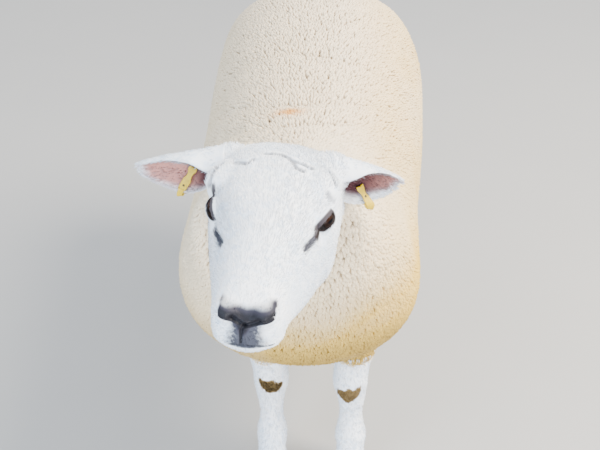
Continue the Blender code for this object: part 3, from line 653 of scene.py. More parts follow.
def ear_shape(side):
    """A closed leaf: out over its back, home over its inside. The wall thins to the rim, and the inside has
    low lengthwise ridges that fade towards the tip."""
    wall = ear_wall(ear_rows, ear_across)
    ridges = 0.0007 * np.cos(ear_across * 9) * fade(1.0, 0.7, np.abs(ear_across))
    ridges = ridges * fade(0.95, 0.5, ear_rows[:, :1])
    back = ear_surface(side, ear_rows, ear_across, -wall)
    inside = ear_surface(side, ear_rows, ear_across, wall + ridges)
    return closed_tube(np.concatenate([back, inside[:, ::-1]], 1))


EAR_TINTS = {1: (1.12, 0.55, 0.92, 0.42), -1: (0.54, 0.34, 1.12, 0.72)}  # where painted shade and pink end on each ear


def ear_tint(side, place, across):
    """Shares of pink bare skin and of painted shade inside the ear. White hair covers the lower part and
    the tip, and the painted shade is deepest in the canal and in the upper rim's shadow."""
    shade_end, shade_start, pink_end, pink_start = EAR_TINTS[side]
    pink = fade(1.0, 0.93, -across) * fade(pink_end, pink_start, across) * fade(0.99, 0.88, place)
    # painted shadow of the upper rim, and painted shade deep in the canal towards the root
    rim_shadow = 0.65 * fade(0.0, -0.45, across) * fade(0.92, 0.50, place)
    dark = np.maximum(fade(shade_end, shade_start, place), rim_shadow)
    return pink, np.maximum(pink, fade(0.95, 0.6, across)) * dark


ear_tints = [np.zeros((2, len(skin_points)))]
for side in SIDES.values():
    inside_tint = np.array(ear_tint(side, ear_rows[:, :1], ear_across[::-1]))
    ear_tints.append(np.pad(np.dstack([inside_tint * 0, inside_tint]).reshape(2, -1), ((0, 0), (0, 2))))
ear_tints = np.hstack(ear_tints)
ear_shapes = {side: ear_shape(side) for side in SIDES.values()}
hide_points, hide_triangles = joined([(skin_points, skin_triangles), *ear_shapes.values()])
on_ears = np.arange(len(hide_points)) >= len(skin_points)

# ---- The hide's markings and finish ---------------------------------------------------------------------
# The hide is white with a dark nose, lip, lids and tear ducts, soiled knees and yellowed wool. Painted
# shade darkens the nostrils, the lip's groove, the mouth line, the poll's creases, the upper lid and the
# inside of the ears, and painted warm sunlight yellows the wool on the sunny left. The same markings are
# worked out on the skin and on the coat over it, from where a point lies on the body.

# For each soiled patch below a knee: where it lies sideways, its lowest height, how much its ends rise, how
# much more its left end rises, its depth, and its strength.
KNEE_PATCHES = [(-0.066, 0.2090, 0.014, -0.0045, 0.033, 1.0), (0.073, 0.1815, 0.023, 0.0060, 0.046, 0.88)]
KNEE_HALF = 0.020  # half the breadth of a patch
RUST_PLACE = (-0.031, -0.003)  # x and y of the mark on the withers
CREASES = [  # x and y of the shallow folds of the fleece across the back
    [(-0.172, 0.262), (-0.100, 0.236), (-0.036, 0.231), (0.046, 0.212), (0.110, 0.204), (0.165, 0.228)],
    [(-0.150, 0.095), (-0.090, 0.046), (-0.024, 0.025), (0.060, 0.050), (0.152, 0.120)],
    [(-0.140, 0.000), (-0.080, -0.042), (-0.020, -0.058), (0.050, -0.030), (0.141, 0.048)],
]


def waves(points, length, seed):
    """A smooth field from about -1 to 1: eight plane waves of about that length in drawn directions."""
    source = np.random.default_rng(seed)
    ways = unit(source.normal(size=(8, 3))) * source.uniform(0.7, 1.5, (8, 1)) * (2 * math.pi / length)
    return np.sin(points @ ways.T + source.uniform(0, 2 * math.pi, 8)).sum(1) / 4


def muzzle_marks(points):
    """The bare nose, from the nostrils' line to a level top edge and darkest below, with a tongue down the
    groove; the grey hair of the upper lip; and painted shade in the nostrils' openings and along the slits of
    nostrils, groove and mouth."""
    left, forward, up = head_measure(points)
    beside = np.abs(left - FACE_SHIFT)
    front = fade(0.132, 0.146, forward)
    nostrils = np.array(NOSTRILS[1] + NOSTRILS[0][::-1])
    lower = np.interp(left, nostrils[:, 0], nostrils[:, 2])
    upper = np.interp(beside, (0, 0.010, 0.018, 0.025), (0.0024, 0.0038, 0.0050, 0.0054))
    above = up - lower
    nose = fade(0.0295, 0.0265, beside) * fade(-0.0042, -0.0026, above) * front
    nose = nose * np.clip(1.6 - 1.3 * above / (upper - lower), 0, 1)
    tongue = np.interp(up, (-0.025, -0.016, -0.010), (0.0010, 0.0050, 0.0085)) - np.abs(left + 0.001)
    tongue = fade(-0.0035, 0.0025, tongue) * fade(-0.027, -0.018, up) * fade(-0.008, -0.011, up)
    breadth = np.interp(above, (-0.030, -0.010, -0.002), (0.027, 0.020, 0.022))
    lip = fade(breadth, 0.001, beside) * fade(-0.0005, -0.004, above) * front * fade(-0.0405, -0.0360, up)
    # painted shade: the nostrils' openings and the slits of nostrils, groove and mouth darkened as shadowed
    # hollows
    opening = np.hypot((beside - 0.0222) / 0.0072, (above - 0.0022) / 0.0032)
    slit_shade = 0.95 * fade(1.25, 0.6, opening) * front
    lines = [(line, False, 0.0026, 1.0) for line in (*NOSTRILS, PHILTRUM)]
    lines += [(MOUTH[:2], True, 0.0022, 0.5), (MOUTH[1:3], True, 0.0026, 0.9)]
    for line, both, width, share in lines:
        slit_shade = np.maximum(slit_shade, share * fade(width, width * 0.4, head_distance(points, line, both)))
    return {"nose": np.maximum(nose, 0.85 * tongue), "lip": 1 - (1 - lip) ** 2.6, "slit_shade": slit_shade}


def eye_marks(points):
    """The dark tear ducts, painted shade in the poll's creases, the lids' bare rim, and the upper lid's mauve
    edge, partly dark lashes and partly painted shade along the lid.
    """
    duct = np.zeros(len(points))
    for line in TEAR_DUCTS:
        duct = np.maximum(duct, fade(0.0066, 0.0024, head_distance(points, line[1:])))
        duct = np.maximum(duct, 0.6 * fade(0.0032, 0.0010, head_distance(points, line[:2])))
    # painted shade in the creases of the poll
    poll_fold_shade = np.max([fade(0.0044, 0.0014, head_distance(points, line)) for line in HEAD_FOLDS], 0)
    rim, lid = np.zeros((2, len(points)))
    for side in SIDES.values():
        across, upward, share, rolled = lid_measure(points, side)
        rim = np.maximum(rim, fade(1.26, 1.10, share))
        # the upper lid's mauve edge: partly dark lashes, partly painted shade along the lid
        above = (0.15 + 0.85 * fade(-0.001, 0.002, upward)) * fade(1.30, 1.05, np.abs(across) / LIDS[side][2])
        lid = np.maximum(lid, fade(1.80, 1.50, rolled) * above)
    return {"duct": duct, "poll_fold_shade": poll_fold_shade, "rim": rim, "lid": lid}


def knee_mark(points):
    """The soiled patches: bent bands on the front of the legs, deepest in the middle, with a wavy edge."""
    x, y, z = points.T
    knee = np.zeros(len(points))
    for centre, lowest, bend, tilt, deep, share in KNEE_PATCHES:
        aside = (x - centre - frame_shift[0]) / KNEE_HALF
        lower = z - lowest - bend * np.abs(aside) ** 1.6 - tilt * aside + 0.0022 * waves(points, 0.012, 5)
        upper = deep * (1 - 0.6 * np.abs(aside)) - lower
        inside = fade(-0.002, 0.003, lower) * fade(-0.002, 0.003, upper) * fade(1.15, 0.95, np.abs(aside))
        knee = np.maximum(knee, share * inside * fade(-0.084, -0.100, y))
    return {"knee": knee}


def wool_marks(points):
    """Where wool grows; its yellow share: yellowing low down and on the chest, and painted warm sunlight on
    the sunny left; the soil below; the rust mark on the withers; and the creases across the back."""
    x, y, z = points.T
    wool = fleece_share(points)
    chest = wool * fade(0.66, 0.40, z) * fade(0.02, -0.14, y)
    sunny = fade(-0.16, 0.10, x)
    # the yellow share: real yellowing low down and on the chest, and painted warm sunlight where it grows
    # with sunny and towards the left
    yellow_and_sunlit = wool * (0.30 + 0.25 * waves(points, 0.23, 11)) * fade(0.74, 0.58, z) * (0.4 + 0.9 * sunny)
    yellow_and_sunlit = yellow_and_sunlit + chest * (0.34 + 0.66 * sunny) + 0.25 * wool * fade(0.04, 0.14, x)
    soil = chest * fade(0.58, 0.38, z) * (0.7 + 0.5 * sunny) + wool * 0.35 * fade(0.34, 0.30, z)
    rust = np.exp(-(((x - RUST_PLACE[0]) / 0.022) ** 2 + ((y - RUST_PLACE[1]) / 0.013) ** 2))
    crease = np.zeros(len(points))
    for line in CREASES:
        flat = line_distance(points[:, :2], line)
        crease = np.maximum(crease, bell(flat, 0.011) * fade(0.60, 0.66, z))
    return {"wool": wool, "yellow_and_sunlit": np.clip(yellow_and_sunlit, 0, 1), "soil": np.clip(soil, 0, 1),
            "rust": rust * fade(0.66, 0.69, z), "crease": crease}


def markings(points):
    """Shares from 0 to 1 of each marking at the points, by name."""
    return muzzle_marks(points) | eye_marks(points) | knee_mark(points) | wool_marks(points)


def give_values(piece, values):
    """Stores named arrays, one number for each point, as attributes that the finishes read."""
    for name, array in values.items():
        piece.data.attributes.new(name, "FLOAT", "POINT").data.foreach_set("value", array.astype(np.float32))


skin = add_piece("skin", hide_points, hide_triangles)
skin_values = markings(hide_points)
skin_values["wool"] = skin_values["wool"] * ~on_ears
skin_values["ear_pink"], skin_values["ear_shade"] = ear_tints
give_values(skin, skin_values)
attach(skin, "root")
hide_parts("head", "neck", "trunk", "tail", "ear_left", "ear_right",
            *(f"leg_{pair}_{side}" for pair in PAIRS for side in SIDES))


class Term:
    """A socket of a finish's nodes. Sums, products and powers of terms, and a number less a term, add Math
    nodes."""

    def __init__(self, finish, socket):
        self.finish, self.socket = finish, socket

    def math(self, operation, *others):
        """A Math node on this term and the others."""
        return self.finish.node("Math", {"operation": operation}, dict(enumerate((self, *others))))

    def __add__(self, other):
        return self.math("ADD", other)

    def __mul__(self, other):
        return self.math("MULTIPLY", other)

    def __rsub__(self, other):
        return self.finish.node("Math", {"operation": "SUBTRACT"}, {0: other, 1: self})

    def __pow__(self, other):
        return self.math("POWER", other)

    __radd__, __rmul__ = __add__, __mul__

    def step(self, low, high):
        """0 up to low and 1 from high on, with a smooth S between."""
        ends = {"Value": self, "From Min": low, "From Max": high}
        return self.finish.node("MapRange", {"interpolation_type": "SMOOTHSTEP"}, ends)


class Finish:
    """A material whose nodes are added by name, each with its settings first and then its sockets."""

    def __init__(self, name, roughness, **constants):
        self.material = bpy.data.materials.new(name)
        self.material.use_nodes = True
        self.tree = self.material.node_tree
        self.shader = self.tree.nodes["Principled BSDF"]
        self.set(Roughness=roughness, **constants)

    def node(self, kind, settings=None, sockets=None, output=0):
        """A new node of that kind, as the term of one of its outputs."""
        made = self.tree.nodes.new("ShaderNode" + kind)
        for name, value in (settings or {}).items():
            setattr(made, name, value)
        for name, value in (sockets or {}).items():
            self.plug(made.inputs[name], value)
        return Term(self, made.outputs[output])

    def plug(self, socket, value):
        """Links a term to a socket, or sets the socket to a number or colour."""
        if isinstance(value, Term):
            self.tree.links.new(value.socket, socket)
        elif socket.type == "RGBA" and len(value) == 3:
            socket.default_value = (*value, 1)
        else:
            socket.default_value = value

    def set(self, **sockets):
        """Sets or links sockets of the shader, named with _ for each space."""
        for name, value in sockets.items():
            self.plug(self.shader.inputs[name.replace("_", " ")], value)

    def value(self, name):
        """The number that give_values stored on the piece under that name."""
        return self.node("Attribute", {"attribute_name": name}, output=2)

    def place(self):
        """The place on the object, in metres."""
        return self.node("TexCoord", output=3)

    def noise(self, scale, detail=2.0, roughness=0.5):
        """Cloudy noise from 0 to 1, with about as many swells to a metre as its scale."""
        sockets = {"Vector": self.place(), "Scale": scale, "Detail": detail, "Roughness": roughness}
        return self.node("TexNoise", None, sockets)

    def mix(self, share, first, second):
        """The first colour where the share is 0, turning to the second where it is 1."""
        settings = {"data_type": "RGBA", "clamp_factor": True}
        return self.node("Mix", settings, {0: share, 6: first, 7: second}, output=2)

    def layered(self, colour, *layers):
        """The colour with each layer's tint laid over it by its share."""
        for share, tint in layers:
            colour = self.mix(share, colour, tint)
        return colour

    def shaded(self, colour, light):
        """The colour times a number that varies over the surface."""
        return self.node("VectorMath", {"operation": "SCALE"}, {0: colour, "Scale": light})

    def bump(self, height, distance, strength):
        """Gives the finish a fine relief, that distance deep where the height goes from 0 to 1."""
        sockets = {"Height": height, "Distance": distance, "Strength": strength}
        self.set(Normal=self.node("Bump", None, sockets))


FACE_WHITE = (0.88, 0.905, 0.95)
FACE_COOL = (0.70, 0.79, 0.91)
NOSE_GREY = (0.034, 0.033, 0.048)
NOSE_BLACK = (0.012, 0.012, 0.016)
LIP_GREY = (0.052, 0.055, 0.073)
DUCT_GREY = (0.050, 0.052, 0.070)
# painted shade in the poll's creases
FOLD_SHADE_GREY = (0.20, 0.21, 0.25)
# the upper lid's lashes and painted shade along the lid
LID_LASH_AND_SHADE_MAUVE = (0.030, 0.021, 0.025)
RIM_BROWN = (0.016, 0.012, 0.012)
EAR_PINK = (0.50, 0.22, 0.18)
# painted shade inside the ears
EAR_SHADE = (0.050, 0.016, 0.022)
KNEE_TAN = (0.17, 0.112, 0.045)
KNEE_BROWN = (0.028, 0.0185, 0.006)
WOOL_PALE = (0.82, 0.70, 0.53)
# the yellow of yellowed wool, also laid on as painted warm sunlight on the sunny left
WOOL_WARM = (0.71, 0.48, 0.12)
WOOL_SOIL = (0.25, 0.165, 0.045)
WOOL_RUST = (0.72, 0.32, 0.05)


def wool_colour(finish):
    """Cream wool, yellowed low down and on the chest, with painted warm sunlight on the sunny left, soil
    specks below and a rust mark on the withers.
    """
    cloud = finish.noise(9.0, 3.0)
    speck = finish.noise(95.0, 2.0, 0.6).step(0.50, 0.66)
    return finish.layered(
        WOOL_PALE,
        # yellowed wool, and painted warm sunlight on the sunny left
        (finish.value("yellow_and_sunlit") * (0.6 + 0.8 * cloud), WOOL_WARM),
        (finish.value("soil") * (0.56 + 0.36 * speck), WOOL_SOIL),
        (finish.value("rust") * 0.9, WOOL_RUST),
    )


def hair_colour(finish):
    """White short hair with a faint cool cast, dark muzzle, tear ducts and lids, and brown knees; painted
    shade in the muzzle's slits and the poll's creases, and the upper lid's lashes with painted shade along
    them.
    """
    cool = 0.7 * finish.noise(14.0, 3.0).step(0.35, 0.75) + 0.5 * finish.noise(110.0, 2.0).step(0.48, 0.62)
    mottle = finish.noise(260.0, 2.0, 0.6).step(0.40, 0.62)
    knee, nose = finish.value("knee"), finish.value("nose")
    return finish.layered(
        FACE_WHITE,
        (cool, FACE_COOL),
        (finish.value("lip") * (1.0 + 0.35 * mottle), LIP_GREY),
        (finish.value("duct") * 0.97, DUCT_GREY),
        # painted shade in the poll's creases
        (finish.value("poll_fold_shade") * 0.72, FOLD_SHADE_GREY),
        (knee.step(0.05, 0.70), KNEE_TAN),
        (knee.step(0.80, 1.0) * (0.7 + 0.3 * mottle), KNEE_BROWN),
        # the upper lid's dark lashes and painted shade along the lid
        (finish.value("lid") * 0.97, LID_LASH_AND_SHADE_MAUVE),
        (finish.value("rim"), RIM_BROWN),
        (nose.step(0.0, 0.60), NOSE_GREY),
        (nose.step(0.40, 1.0), NOSE_BLACK),
        # painted shade in the nostrils, the lip's groove and the mouth line
        (finish.value("slit_shade") * 0.95, NOSE_BLACK),
    )


def ear_colour(finish, bare_share):
    """The hair's colour outside, and pink skin inside, with painted shade in the canal and under the rim."""
    return finish.layered(
        hair_colour(finish),
        (finish.value("ear_pink") * bare_share, EAR_PINK),
        # painted shade in the ear's canal and under its rim
        (finish.value("ear_shade") * bare_share, EAR_SHADE),
    )


hide = Finish("skin_hide", 0.75, Specular_IOR_Level=0.12)
hide.set(Base_Color=hide.mix(hide.value("wool"), ear_colour(hide, 0.97), wool_colour(hide)))
bare = hide.value("nose")
hide.set(Roughness=0.72 - 0.30 * bare)
grain = hide.noise(900.0, 2.0, 0.6) * (1 - 0.6 * bare) + hide.noise(420.0, 1.0) * bare
hide.bump(grain, 0.0006, 0.7)
skin.data.materials.append(hide.material)

# ---- The fleece -----------------------------------------------------------------------------------------
# Dense short wool, which stands in small blunt locks that grow from the skin. Each lock is a closed crimped
# strand that leans along the lie of the coat. Locks gather in staples with fissures between them.

ROOT_VOXEL = 0.0055  # about the distance between locks
BED_ROUNDS = (3, 20)  # of relaxing the form that the locks grow from
LOCK_LENGTH, LOCK_WIDTH = 0.0150, 0.0041  # the width is from a lock's middle to its corners
LOCK_LEANS = (0.45, 1.22)  # from the normal, in radians, at the root and at the tip
LOCK_CRIMP = 0.05
LOCK_SPINE, LOCK_GIRTH = np.array((0.0, 0.52, 0.88)), np.array((0.80, 1.0, 0.74))
ROOT_DEPTH = 0.0012  # of a lock's root in the skin
STAPLE = 0.012  # breadth of a staple
PATCH = 0.003  # breadth of a strand's patch on the unwrap
BODY_CHART = ((0.02, 0.40), (0.96, 0.58))  # corner and size of the body's part of the unwrap
FLEECE_PARTS = ("neck", "shoulder", "ribs", "loin", "rump")
draw = np.random.default_rng(7)


def strand_reach(spine):
    """How far out along its strand each of a strand's points is: three to a ring, and the tip."""
    return np.append(np.repeat(spine, 3), 1.0)


def strands(roots, normals, lies, lengths, widths, leans, spine, girth, crimp=0.0, flat=0.7):
    """Closed three-sided strands, as points (strands, points, 3), triangles and patch offsets. A strand's
    angle from the normal goes evenly from its first lean to its last, so that it rises by the integral of the
    angle's cosine and runs on by that of its sine. It waves sideways by crimp times its length."""
    first, last = (np.asarray(lean)[..., None] * np.ones((len(roots), 1)) for lean in leans)
    reach = np.append(spine, 1.0)
    angle = first + (last - first) * reach
    rise = (np.sin(angle) - np.sin(first)) / (last - first)
    run = (np.cos(first) - np.cos(angle)) / (last - first)
    aside = np.cross(normals, lies)
    wave = crimp * reach * np.sin(reach * 9.0 + draw.uniform(0, 2 * math.pi, (len(roots), 1)))
    centre = [part[..., None] * way[:, None] for part, way in ((rise, normals), (run, lies), (wave, aside))]
    centre = roots[:, None] + sum(centre) * lengths[:, None, None]
    turn = np.radians((90, 210, 330))
    tangent = np.cos(angle)[..., None] * normals[:, None] + np.sin(angle)[..., None] * lies[:, None]
    upper = np.cross(aside[:, None], tangent)
    ring = np.cos(turn)[:, None] * aside[:, None, None] + flat * np.sin(turn)[:, None] * -upper[:, :-1, None]
    ring = centre[:, :-1, None] + ring * (widths[:, None] * girth)[..., None, None]
    count = 3 * len(spine) + 1
    points = np.concatenate([ring.reshape(len(roots), -1, 3), centre[:, -1:]], 1)
    here = np.arange(3 * len(spine)).reshape(-1, 3)
    beside = np.roll(here, -1, 1)
    walls = [(here[:-1], beside[:-1], beside[1:]), (here[:-1], beside[1:], here[1:])]
    tip = np.stack([here[-1], beside[-1], np.full(3, count - 1)], -1)
    shape = np.concatenate([np.stack(wall, -1).reshape(-1, 3) for wall in walls] + [tip, here[:1, ::-1]])
    _, shape = outward(points[0] - roots[0], shape)
    triangles = (np.arange(len(roots))[:, None, None] * count + shape).reshape(-1, 3)
    patch = np.stack([strand_reach(spine) - 0.5, np.append(np.tile((-0.5, 0.5, 0.0), len(spine)), 0)], 1)
    return points, triangles, patch * PATCH


def add_coat(name, made, values, unwrap, reach, finish):
    """A coat piece from strands, with their values, their places on the unwrap and each point's reach."""
    points, triangles, patch = made
    piece = add_piece(name, points.reshape(-1, 3), triangles)
    count = points.shape[1]
    give_values(piece, {key: np.repeat(array, count) for key, array in values.items()})
    give_values(piece, {"reach": np.tile(reach, len(points))})
    flat = (unwrap[:, None] + patch).reshape(-1, 2)
    layer = piece.data.uv_layers.new(name="OFBake")
    layer.data.foreach_set("uv", flat[triangles.ravel()].astype(np.float32).ravel())
    piece.data.materials.append(finish.material)
    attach(piece, "root")


def tube_unwrap(points, rings, corner, size):
    """Where points lie on the unwrap of a tube: along its rings one way and round them the other, in a
    rectangle of the unit square given by its corner and size."""
    middle = rings.mean(1)
    across = unit(rings[:, 0] - middle)
    upward = unit(rings[:, rings.shape[1] // 4] - middle)
    nearest = np.empty(len(points), int)
    for part in np.array_split(np.arange(len(points)), len(points) // 4000 + 1):
        apart = np.linalg.norm(points[part][:, None] - middle, axis=2)
        nearest[part] = apart.argmin(1)
    away = points - middle[nearest]
    turn = np.arctan2((away * upward[nearest]).sum(1), (away * across[nearest]).sum(1)) / (2 * math.pi) + 0.5
    along = nearest / (len(middle) - 1)
    return np.array(corner) + np.stack([along, turn], 1) * size


def quad_roots(source, chooser):
    """One root in each of a mesh's quads, drawn anywhere but its edges, and the surface's normal there."""
    corners = read(source.data.loops, "vertex_index", 1, np.int32).reshape(-1, 4)
    points, normals = read(source.data.vertices, "co", 3), read(source.data.vertex_normals, "vector", 3)
    corners = corners[chooser(points[corners].mean(1))]
    u, v = draw.uniform(0.05, 0.95, (2, len(corners), 1, 1))
    shares = np.concatenate([(1 - u) * (1 - v), u * (1 - v), u * v, (1 - u) * v], 1)
    return (points[corners] * shares).sum(1), unit((normals[corners] * shares).sum(1))


def along_surface(ways, normals):
    """Directions laid flat on the surface."""
    return unit(ways - normals * (ways * normals).sum(1, keepdims=True))


def fleece_lie(points, normals):
    """The wool lies back along the body and down its sides, and straight down on neck and chest."""
    x, y, z = points.T
    ahead = fade(0.10, -0.15, y)
    ways = np.stack([x * 1.6, 0.75 - 0.65 * ahead, -0.75 - 0.4 * ahead], 1)
    return along_surface(ways, normals)


body_chart = body_rings(10, 64)
bed = outer_form(ROOT_VOXEL, *BED_ROUNDS, "fleece_bed")
bed.data = with_modifier(bed, "SHRINKWRAP", target=outer)
tips, normals = quad_roots(bed, lambda places: fleece_share(places) > 0.12)
bpy.data.objects.remove(bed)
wool = fleece_share(tips)
marks = markings(tips)
roots = tips - normals * (ROOT_DEPTH + SHORT_DEPTH + (FLEECE_DEPTH - SHORT_DEPTH) * wool)[:, None]
cell = np.floor((tips + draw.uniform(-0.003, 0.003, tips.shape)) / STAPLE).astype(int)
staple = np.unique(cell, axis=0, return_inverse=True)[1].ravel()
members = np.bincount(staple)
staple_middle = (summed(staple, tips, len(members)) / members[:, None])[staple]
staple_draw = draw.normal(size=(len(members), 4))[staple]
gather = 0.07 * (staple_middle - tips) / STAPLE + 0.06 * staple_draw[:, :3]
lies = along_surface(fleece_lie(tips, normals) + gather + 0.17 * draw.normal(size=tips.shape), normals)
edge = 0.35 + 0.65 * fade(0.1, 0.9, wool)
lengths = LOCK_LENGTH * edge * (1 + 0.022 * staple_draw[:, 3] + draw.normal(0, 0.035, len(tips)))
lengths *= 1 - 0.42 * marks["crease"] + 0.03 * waves(tips, 0.09, 3)
widths = LOCK_WIDTH * (0.55 + 0.45 * edge) * draw.uniform(0.8, 1.2, len(tips))
widths *= 1 + 0.2 * fade(0.0, -0.15, tips[:, 1])
last_lean = LOCK_LEANS[1] + 0.06 * draw.normal(size=len(tips)) + 0.25 * marks["crease"]

fleece = Finish("fleece_wool", 0.95, Specular_IOR_Level=0.05)
light = 0.90 + 0.16 * fleece.value("shade")
fibres = fleece.noise(700.0, 2.0, 0.6)
# darker towards each lock's root: painted shade down between the locks
light = light * (0.90 + 0.11 * fleece.value("reach").step(0.3, 0.95)) * (0.92 + 0.14 * fibres)
fleece.set(Base_Color=fleece.shaded(wool_colour(fleece), light))
fleece.bump(fibres, 0.0008, 0.6)

shade = np.clip(0.5 + 0.18 * staple_draw[:, 3] + draw.normal(0, 0.16, len(tips)), 0, 1)
values = {key: marks[key] for key in ("yellow_and_sunlit", "soil", "rust")} | {"shade": shade}
unwrap = tube_unwrap(tips, body_chart, *BODY_CHART)
for side, sign in SIDES.items():
    half = np.flatnonzero(np.sign(tips[:, 0] - tips[:, 0].mean()) == sign)
    half = half[np.argsort(unwrap[half, 0])[::-1]]
    for part, chosen in zip(FLEECE_PARTS, np.array_split(half, len(FLEECE_PARTS))):
        made = strands(roots[chosen], normals[chosen], lies[chosen], lengths[chosen], widths[chosen],
                       (LOCK_LEANS[0], last_lean[chosen]), LOCK_SPINE, LOCK_GIRTH, LOCK_CRIMP)
        part_values = {key: array[chosen] for key, array in values.items()}
        reach = strand_reach(LOCK_SPINE)
        add_coat(f"fleece_{part}_{side}", made, part_values, unwrap[chosen], reach, fleece)

# ---- The short hair -------------------------------------------------------------------------------------
# Face, ears and legs carry short flat hair, which is mostly the skin's grain. Fine strands break the form on
# every side: they lie from the nose to the poll, down the legs, and from root to tip along the ears.

HAIR_SPINE, HAIR_GIRTH = np.array((0.0, 0.5)), np.array((0.8, 1.0))
HAIR_LEANS = (1.05, 1.50)  # from the normal, in radians, at the root and at most at the tip
HEAD_BACK = 0.2  # behind the eyes, where the head's short hair ends at the latest
HAIR_ROOT = 0.0006  # depth of a strand's root in the skin
FACE_SHARE, LEG_SHARE = 0.62, 0.26  # of the outer form's quads that grow a strand
EAR_STRANDS = 3300  # on each ear
FACE_WIDTH, LEG_WIDTH, EAR_WIDTH = 0.00052, 0.00066, 0.00045  # from a strand's middle to its corners
FACE_LENGTH, NOSE_LESS, WOOL_MORE = 0.0072, 0.0030, 0.0020  # less on the nose, more near the wool
LEG_LENGTH = 0.0075
EAR_LENGTHS = (0.0058, 0.0062, 0.0048)  # on the rims, inside and on the back
HAIR_MARKS = ("nose", "lip", "slit_shade", "duct", "poll_fold_shade", "knee", "rim", "lid")

hair = Finish("short_hair", 0.80, Specular_IOR_Level=0.10)
# random tone per strand, and darker towards each strand's root: painted shade among the strands
hair_tone_and_root_shade = (0.95 + 0.07 * hair.value("shade")) * (0.94 + 0.07 * hair.value("reach"))
hair.set(Base_Color=hair.shaded(ear_colour(hair, 0.85), hair_tone_and_root_shade))


def hair_lie(points, normals):
    """From the nose back to the poll and a little down the cheeks, and straight down on the legs."""
    _, forward, up = head_measure(points)
    on_face = (forward > -HEAD_BACK)[:, None]
    face_way = -head_axes[1] - head_axes[2] * (0.45 * fade(0.02, -0.06, up))[:, None]
    return along_surface(np.where(on_face, face_way, (0.0, 0.05, -1.0)), normals)


def add_hair(name, tips, normals, lies, length, width, unwrap, slot, tints=None, lift=0.22):
    """Short strands whose tips stand a little proud, thinned where the nose, slits and lid rims are bare."""
    marks = markings(tips + lies * np.reshape(length, (-1, 1)) * 0.5)
    if slot == "face_hair":
        tips, share = with_features(tips, normals)
        near = fade(3.2, 2.0, share)[:, None]
        middles = np.where((head_measure(tips)[0] > 0)[:, None], eye_middle(1), eye_middle(-1))
        normals = unit(normals * (1 - near) + unit(tips - middles) * near)
        lies = along_surface(lies, normals)
        length = length * (1 - 0.7 * near[:, 0])
    bare = np.maximum(marks["nose"], marks["slit_shade"])
    for side in SIDES.values():
        _, upward, _, rolled = lid_measure(tips, side)
        bare = np.maximum(bare, rolled < 1.2 + 0.4 * fade(0.0, 0.002, upward))
    keep = draw.random(len(tips)) > bare * 1.4
    tips, normals, lies, unwrap = tips[keep], normals[keep], lies[keep], unwrap[keep]
    length = (length if np.isscalar(length) else length[keep]) * draw.uniform(0.7, 1.25, keep.sum())
    width = width * draw.uniform(0.7, 1.3, keep.sum())
    lies = along_surface(lies + 0.16 * draw.normal(size=lies.shape), normals)
    leans = (HAIR_LEANS[0], HAIR_LEANS[1] - lift * draw.uniform(0.2, 1.0, len(tips)))
    roots = tips - normals * HAIR_ROOT
    made = strands(roots, normals, lies, length, width, leans, HAIR_SPINE, HAIR_GIRTH, flat=0.45)
    values = {key: marks[key][keep] for key in HAIR_MARKS}
    values["shade"] = draw.random(len(tips))
    values["ear_pink"], values["ear_shade"] = np.zeros((2, len(tips))) if tints is None else tints[:, keep]
    add_coat(name, made, values, unwrap, strand_reach(HAIR_SPINE), hair)


tip_points, tip_normals = quad_roots(outer, lambda places: fleece_share(places) < 0.9)
tip_points = tip_points - tip_normals * SHORT_DEPTH


def grow(name, chosen, length, width, rings, corner, size, slot):
    """Hair at the chosen roots of head or leg, laid out on the unwrap along the rings of its part."""
    tips, normals = tip_points[chosen], tip_normals[chosen]
    unwrap = tube_unwrap(tips, rings, corner, size)
    add_hair(name, tips, normals, hair_lie(tips, normals), length, width, unwrap, slot)


forward = head_measure(tip_points)[1]
on_face = forward > -HEAD_BACK
face = np.flatnonzero(on_face & (draw.random(len(on_face)) < FACE_SHARE))
nose_ward = fade(0.05, 0.15, forward[face])
wool_ward = fade(0.2, 0.8, fleece_share(tip_points[face]))
face_length = FACE_LENGTH - NOSE_LESS * nose_ward + WOOL_MORE * wool_ward
grow("hair_head", face, face_length, FACE_WIDTH, body_chart, *BODY_CHART, "face_hair")
for number, (pair, stations) in enumerate(PAIRS.items()):
    for side, sign in SIDES.items():
        here = ~on_face & (np.sign(tip_points[:, 0]) == sign)
        here = here & ((tip_points[:, 1] > MID_BODY) == (pair == "hind"))
        chosen = np.flatnonzero(here & (draw.random(len(here)) < LEG_SHARE))
        corner = (0.02 + 0.25 * (2 * number + (sign > 0)), 0.20)
        leg = limb_rings(stations, sign, STANCE_SHIFT, 8, 32)
        grow(f"hair_leg_{pair}_{side}", chosen, LEG_LENGTH, LEG_WIDTH, leg, corner, (0.20, 0.18), "leg_hair")


